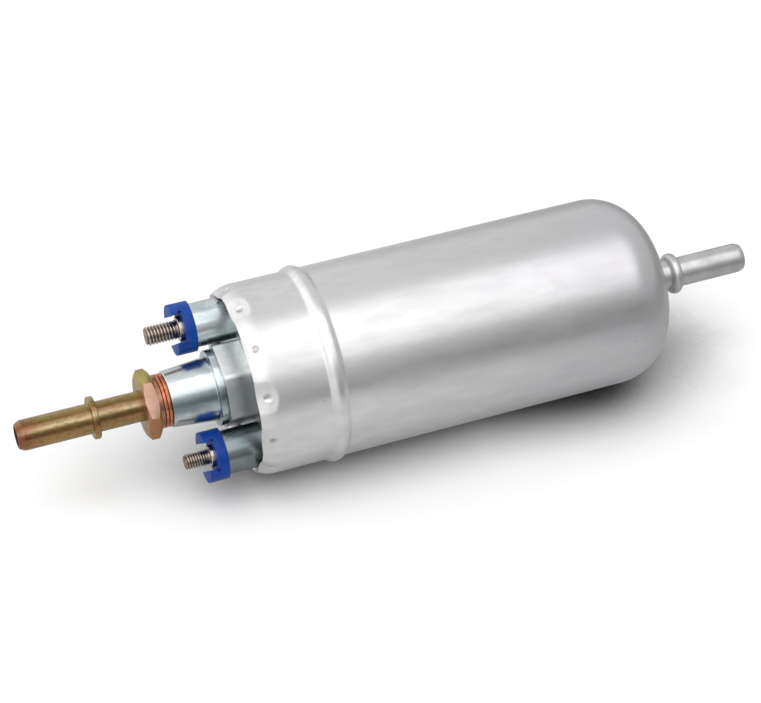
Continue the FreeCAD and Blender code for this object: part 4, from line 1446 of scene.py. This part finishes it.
@dataclass
class OutletFitting:
    """The quick-connect outlet with its chamfered hexagon, and its two copper washers."""

    across_flats: float = 19.1
    flat_angle: float = -17.4
    front: float = -105.92
    back: float = -101.82
    pad_end: float = -100.32
    pad_radius: float = 8.4
    thread_radius: float = 6.0
    bead_start: float = -122.02
    bead_end: float = -120.02
    tip: float = -144.92
    tip_length: float = 1.8
    tip_radius: float = 3.845
    bore: float = 3.0
    washer_thickness: float = 1.1
    washer_step: float = 1.15
    washer_gap: float = 0.05
    land_drop: float = 0.1
    sunk: float = 0.5
    over: float = 1.0
    # Painted highlight near 40 degrees and painted dark reflections near 17 and 63, over the film's
    # colours.
    turned_finish: ChromateFinish = ChromateFinish("yellow_chromate_turned", (
        (-150.0, paint(170, 148, 96)), (-60.0, paint(176, 140, 106)),
        (-20.0, paint(192, 178, 132)), (5.0, paint(148, 124, 72)), (17.0, paint(126, 98, 60)),
        (30.0, paint(162, 134, 106)), (40.0, paint(198, 182, 140)), (52.0, paint(138, 114, 73)),
        (63.0, paint(130, 101, 58)), (76.0, paint(168, 130, 88)), (96.0, paint(176, 148, 94)),
        (118.0, paint(176, 154, 106)), (150.0, paint(168, 134, 96))), rim=-144.9)
    flats_finish: ChromateFinish = ChromateFinish("yellow_chromate_flats", (
        (-180.0, paint(176, 152, 96)), (-107.4, paint(190, 150, 112)),
        (-47.4, paint(190, 176, 100)), (12.6, paint(200, 160, 142)), (72.6, paint(194, 136, 94)),
        (132.6, paint(176, 152, 96))), steps=True, wander=0.0, roughness=0.34, mottle=0.08)
    pad_finish: MetalFinish = MetalFinish("rosy_chromate", paint(186, 138, 112),
                                          paint(150, 108, 78), 0.32, patch=2.5)
    washer_finish: MetalFinish = MetalFinish("soft_copper", paint(228, 152, 118),
                                             paint(186, 104, 78), 0.3, patch=2.0, depth=0.006)

    def hexagon(self) -> bmesh.types.BMesh:
        """Make the hexagon, its corners turned off on both sides.

        Returns:
            The hexagon, bored.
        """
        corner = self.across_flats / math.sqrt(3)
        land = self.across_flats / 2 - self.land_drop
        drop = (corner - land) / math.sqrt(3)
        envelope = Turning(self.front, 0.0).line(self.front, land)
        envelope.line(self.front + drop, corner + 0.01).line(self.back - drop, corner + 0.01)
        envelope.line(self.back, land).line(self.back, 0.0)
        ends = (self.front - self.over, self.back + self.over)
        prism = bar(*ends, self.across_flats, 6, self.flat_angle)
        shape = carved(prism, [envelope.spun(144)], Carve.COMMON)
        hole = turned_tube(*ends, self.bore + 0.8, 0.5, 0.0, 48)
        shape = carved(shape, [hole], Carve.CUT)
        soften(shape, 0.16, 24.0, 2)
        return shape

    def turned(self) -> bmesh.types.BMesh:
        """Turn the spigot, its bead, the pad and the stem.

        Returns:
            The shape, with the third finish on the pad and the stem.
        """
        lathe = Turning(self.tip, self.bore).line(self.tip, self.tip_radius, 0.3)
        lathe.line(self.tip + self.tip_length, HOSE_RADIUS, 0.9)
        lathe.line(self.bead_start, HOSE_RADIUS, 0.2)
        lathe.line(self.bead_start, BEAD_RADIUS, 0.4)
        lathe.line(self.bead_end, BEAD_RADIUS, 0.4)
        lathe.line(self.bead_end, HOSE_RADIUS, 0.2)
        inside = self.back - self.sunk
        lathe.line(self.front + self.sunk, HOSE_RADIUS).line(inside, HOSE_RADIUS)
        lathe.line(inside, self.pad_radius)
        lathe.line(self.pad_end, self.pad_radius, 0.25)
        lathe.line(self.pad_end, self.thread_radius)
        lathe.line(THREAD_END, self.thread_radius, 0.4).line(THREAD_END, self.bore)
        shape = lathe.close().spun(128)
        for face in shape.faces:
            if face.calc_center_median().x > (inside - 0.1) * MM:
                face.material_index = 2
        return shape

    def fitting(self) -> bpy.types.Object:
        """Make the fitting, whose hexagon and pad have finishes of their own.

        Returns:
            The piece.
        """
        hexagon = self.hexagon()
        for face in hexagon.faces:
            face.material_index = 1
        finishes = (self.turned_finish, self.flats_finish, self.pad_finish)
        return hand_over("outlet_hose_end", gathered([self.turned(), hexagon]),
                         [finish.build() for finish in finishes], "outlet_fitting")

    def washers(self) -> bpy.types.Object:
        """Make the two sealing washers.

        Returns:
            The piece.
        """
        rings = []
        for number in (1, 2):
            start = OUTLET_TIP - number * self.washer_step
            rings.append(turned_tube(start, start + self.washer_thickness, self.pad_radius,
                                     self.thread_radius + self.washer_gap, 0.4, 112))
        return hand_over("copper_washers", gathered(rings), [self.washer_finish.build()],
                         "sealing_washers")


@dataclass
class InnerWorks:
    """Everything that the can closes in: the nodes' finishes, and smooth copies of the springs."""

    coil_crease: float = 50.0
    spring_finish: MetalFinish = MetalFinish("spring_wire", paint(190, 190, 192),
                                             paint(150, 150, 156), 0.28)
    finishes: tuple[tuple[MetalFinish | MouldedFinish, tuple[str, ...]], ...] = (
        (MetalFinish("bright_cast_aluminium", paint(205, 206, 208), paint(178, 180, 184), 0.42),
         ("suction_cover", "gear_housing", "pressure_plate", "support_ring")),
        (MetalFinish("ground_steel", paint(196, 198, 202), paint(170, 172, 178), 0.24),
         ("armature_shaft", "pump_screws", "relief_ball", "relief_plug", "flux_tube",
          "magnet_clips", "thrust_washers", "shaft_spacer")),
        (MetalFinish("sintered_steel", paint(150, 150, 152), paint(118, 118, 122), 0.5,
                     depth=0.01), ("inner_rotor", "outer_rotor")),
        (MetalFinish("stacked_laminations", paint(120, 122, 128), paint(92, 94, 100), 0.45,
                     grain=0.5, grain_stretch=(0.2, 4.0, 4.0), depth=0.02), ("armature_core",)),
        (MetalFinish("enamelled_wire", paint(186, 92, 48), paint(150, 66, 34), 0.3,
                     grain=0.7, grain_stretch=(4.0, 0.6, 0.6), depth=0.06),
         ("armature_winding",)),
        (MetalFinish("drawn_copper", paint(208, 132, 96), paint(178, 100, 70), 0.3),
         ("commutator_bars",)),
        (MetalFinish("sintered_bronze", paint(176, 132, 76), paint(144, 104, 58), 0.42),
         ("front_bush", "rear_bush", "check_plunger", "check_seat", "check_guide")),
        (MouldedFinish("black_fuel_rubber", paint(30, 30, 31), paint(46, 45, 44), 0.55),
         ("inlet_seal", "cover_seal", "terminal_seals")),
        (MouldedFinish("white_strainer_plastic", paint(214, 212, 200), paint(196, 192, 178), 0.4),
         ("inlet_strainer",)),
        (MouldedFinish("dark_moulding", paint(46, 44, 42), paint(66, 62, 58), 0.45),
         ("commutator_hub", "brush_holder", "brush_caps")),
        (MouldedFinish("grey_ferrite", paint(62, 62, 66), paint(82, 82, 86), 0.5),
         ("north_magnet", "south_magnet", "suppression_chokes")),
        (MouldedFinish("brush_carbon", paint(48, 48, 50), paint(72, 70, 68), 0.6),
         ("positive_brush", "negative_brush")))

    def dress(self) -> None:
        """Give each node that stays its finish."""
        for finish, nodes in self.finishes:
            material = finish.build()
            for node in nodes:
                data = frame["nodes"][node].data
                data.materials.clear()
                data.materials.append(material)
                LOG.info("%s: %s", node, finish.name)

    def springs(self) -> None:
        """Give each spring a smooth-shaded copy of its node, which then hides."""
        material = self.spring_finish.build()
        for joint in frame["record"]["behaviour"]["joints"]:
            for spring in joint.get("deforming_nodes", []):
                node = spring["node"]
                shape = bmesh.new()
                shape.from_mesh(frame["nodes"][node].data)
                bmesh.ops.remove_doubles(shape, verts=shape.verts[:], dist=SAME_PLACE)
                coil = smooth_object(node + "_coil", shape, [material], self.coil_crease)
                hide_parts(node)
                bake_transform(coil)


# The studio


@dataclass
class Studio:
    """A pale floor, one broad light overhead, a soft sky and the picture's camera."""

    floor_height: float = -31.2
    floor_half: float = 4000.0
    azimuth: float = -20.507
    elevation: float = 41.957
    distance: float = 769.94
    aim_x: float = -28.0
    aim_up: float = -1.70
    focal_pixels: float = 2460.0
    picture_width: int = 761
    sensor: float = 36.0
    box_size: tuple[float, float] = (1860.0, 1030.0)
    box_height: float = 900.0
    box_shift: tuple[float, float] = (-30.0, -150.0)
    box_lean: float = 12.0
    box_power: float = 4.95
    shade_distance: float = 0.3
    painted_shades: tuple[tuple[float, float], ...] = ((0.0, 0.06), (0.13, 0.35), (0.26, 0.66),
                                               (0.40, 0.88), (0.54, 1.0))
    left_shade: Reach = (-120 * MM, -60 * MM, 0.3, 0.0)
    right_shade: Reach = (0.0, 85 * MM, 0.0, 0.52)
    close_shade: Reach = (0.7, 0.97, 1.0, 0.0)
    floor_tones: Reach = (20 * MM, 220 * MM, 0.62, 0.3)
    floor_white: float = 1.05
    floor_roughness: float = 0.9
    sky_lean: float = 0.6
    sky_low: Reach = (-0.5, -0.05, 0.45, 1.0)
    sky_behind: Reach = (-1.0, 1.0, 0.4, 0.74)
    sky_left: Reach = (0.2, -0.45, 0.0, 0.5)

    def floor(self) -> None:
        """Lay the floor: white where it is fully lit, deeper in shade towards the pump's ends."""
        shape = bmesh.new()
        bmesh.ops.create_grid(shape, x_segments=1, y_segments=1, size=self.floor_half * MM)
        bmesh.ops.translate(shape, vec=(0.0, 0.0, self.floor_height * MM), verts=shape.verts[:])
        board = SurfaceBoard("pale_floor")
        nearness = board.tree.nodes.new("ShaderNodeAmbientOcclusion")
        nearness.inputs["Distance"].default_value = self.shade_distance
        room = nearness.outputs["AO"]
        ends = board.math("ADD", board.span(board.along(), *self.left_shade),
                          board.span(board.along(), *self.right_shade))
        extra = board.math("MULTIPLY", ends, board.span(room, *self.close_shade))
        seen = board.ramp(board.math("SUBTRACT", room, extra),
                          [(place, grey(tone)) for place, tone in self.painted_shades])
        plain = board.span(board.along(), *self.floor_tones)
        more = board.math("SUBTRACT", board.share(seen, self.floor_white), plain)
        rays = board.tree.nodes.new("ShaderNodeLightPath")
        lift = board.math("MULTIPLY", more, rays.outputs["Is Camera Ray"])
        board.drive("Base Color", board.math("ADD", lift, plain))
        board.constant("Roughness", self.floor_roughness)
        board.constant("Specular IOR Level", 0.0)
        piece = as_object("studio_floor", shape)
        piece.data.materials.append(board.material)

    def sky(self) -> None:
        """Give the surroundings a soft tone: brightest on the left, darkest low and in front."""
        world = bpy.data.worlds.new("studio_surroundings")
        bpy.context.scene.world = world
        world.use_nodes = True
        board = NodeBoard(world.node_tree)
        x, y, z = board.parts("Generated")
        height = board.math("ADD", board.share(y, self.sky_lean), z)
        low = board.span(height, *self.sky_low, smooth=True)
        left = board.span(x, *self.sky_left, smooth=True)
        tone = board.math("MULTIPLY", board.span(y, *self.sky_behind), low)
        rays = board.tree.nodes.new("ShaderNodeLightPath")
        seen = board.blend(rays.outputs["Is Camera Ray"], board.math("ADD", tone, left), grey(1.0))
        board.join(seen, world.node_tree.nodes["Background"].inputs["Color"])

    def light(self) -> None:
        """Hang the broad light over the pump."""
        lamp = bpy.data.lights.new("overhead_box", "AREA")
        lamp.shape = "RECTANGLE"
        lamp.size = self.box_size[0] * MM
        lamp.size_y = self.box_size[1] * MM
        lamp.energy = self.box_power
        holder = bpy.data.objects.new("overhead_box", lamp)
        bpy.context.scene.collection.objects.link(holder)
        turn = Matrix.Rotation(math.radians(self.box_lean), 4, "X")
        aside, ahead = self.box_shift
        lift = Matrix.Translation((aside * MM, ahead * MM, self.box_height * MM))
        holder.matrix_world = turn @ lift

    def camera(self) -> None:
        """Set the camera where the picture was taken from."""
        turn, rise = math.radians(self.azimuth), math.radians(self.elevation)
        back = Vector((math.sin(turn) * math.cos(rise), -math.cos(turn) * math.cos(rise),
                       math.sin(rise)))
        right = Vector((math.cos(turn), math.sin(turn), 0.0))
        up = back.cross(right)
        place = Vector((self.aim_x, 0.0, 0.0)) + back * self.distance + up * self.aim_up
        eye = bpy.data.cameras.new("picture_camera")
        eye.sensor_width = self.sensor
        eye.lens = self.focal_pixels * self.sensor / self.picture_width
        eye.clip_start = 0.01
        eye.clip_end = 50.0
        holder = bpy.data.objects.new("picture_camera", eye)
        bpy.context.scene.collection.objects.link(holder)
        axes = Matrix((right, up, back)).transposed().to_4x4()
        holder.matrix_world = Matrix.Translation(place * MM) @ axes
        bpy.context.scene.camera = holder

    def build(self) -> None:
        """Set up the whole studio."""
        self.camera()
        self.floor()
        self.sky()
        self.light()
        bpy.context.scene.view_settings.view_transform = "Standard"


def main() -> None:
    """Build the pump's pieces in order, then the studio."""
    logging.basicConfig(level=logging.INFO, format="%(message)s")
    Can().build()
    InletSpigot().build()
    EndCover().build()
    towers = Towers()
    towers.outlet()
    towers.terminals()
    blue = MouldedFinish("deep_blue_moulding", paint(2, 58, 146), paint(7, 72, 164), 0.42,
                         gloss=0.28).build()
    for terminal in (Terminal("positive", Side.UPPER, stud_radius=3.0, pitch=1.0, thread=10.1),
                     Terminal("negative", Side.LOWER, stud_radius=2.5, pitch=0.8, thread=7.8)):
        terminal.insulator(blue)
        terminal.stud()
    outlet = OutletFitting()
    outlet.washers()
    outlet.fitting()
    inner = InnerWorks()
    inner.dress()
    inner.springs()
    Studio().build()


if __name__ == "__main__":
    main()
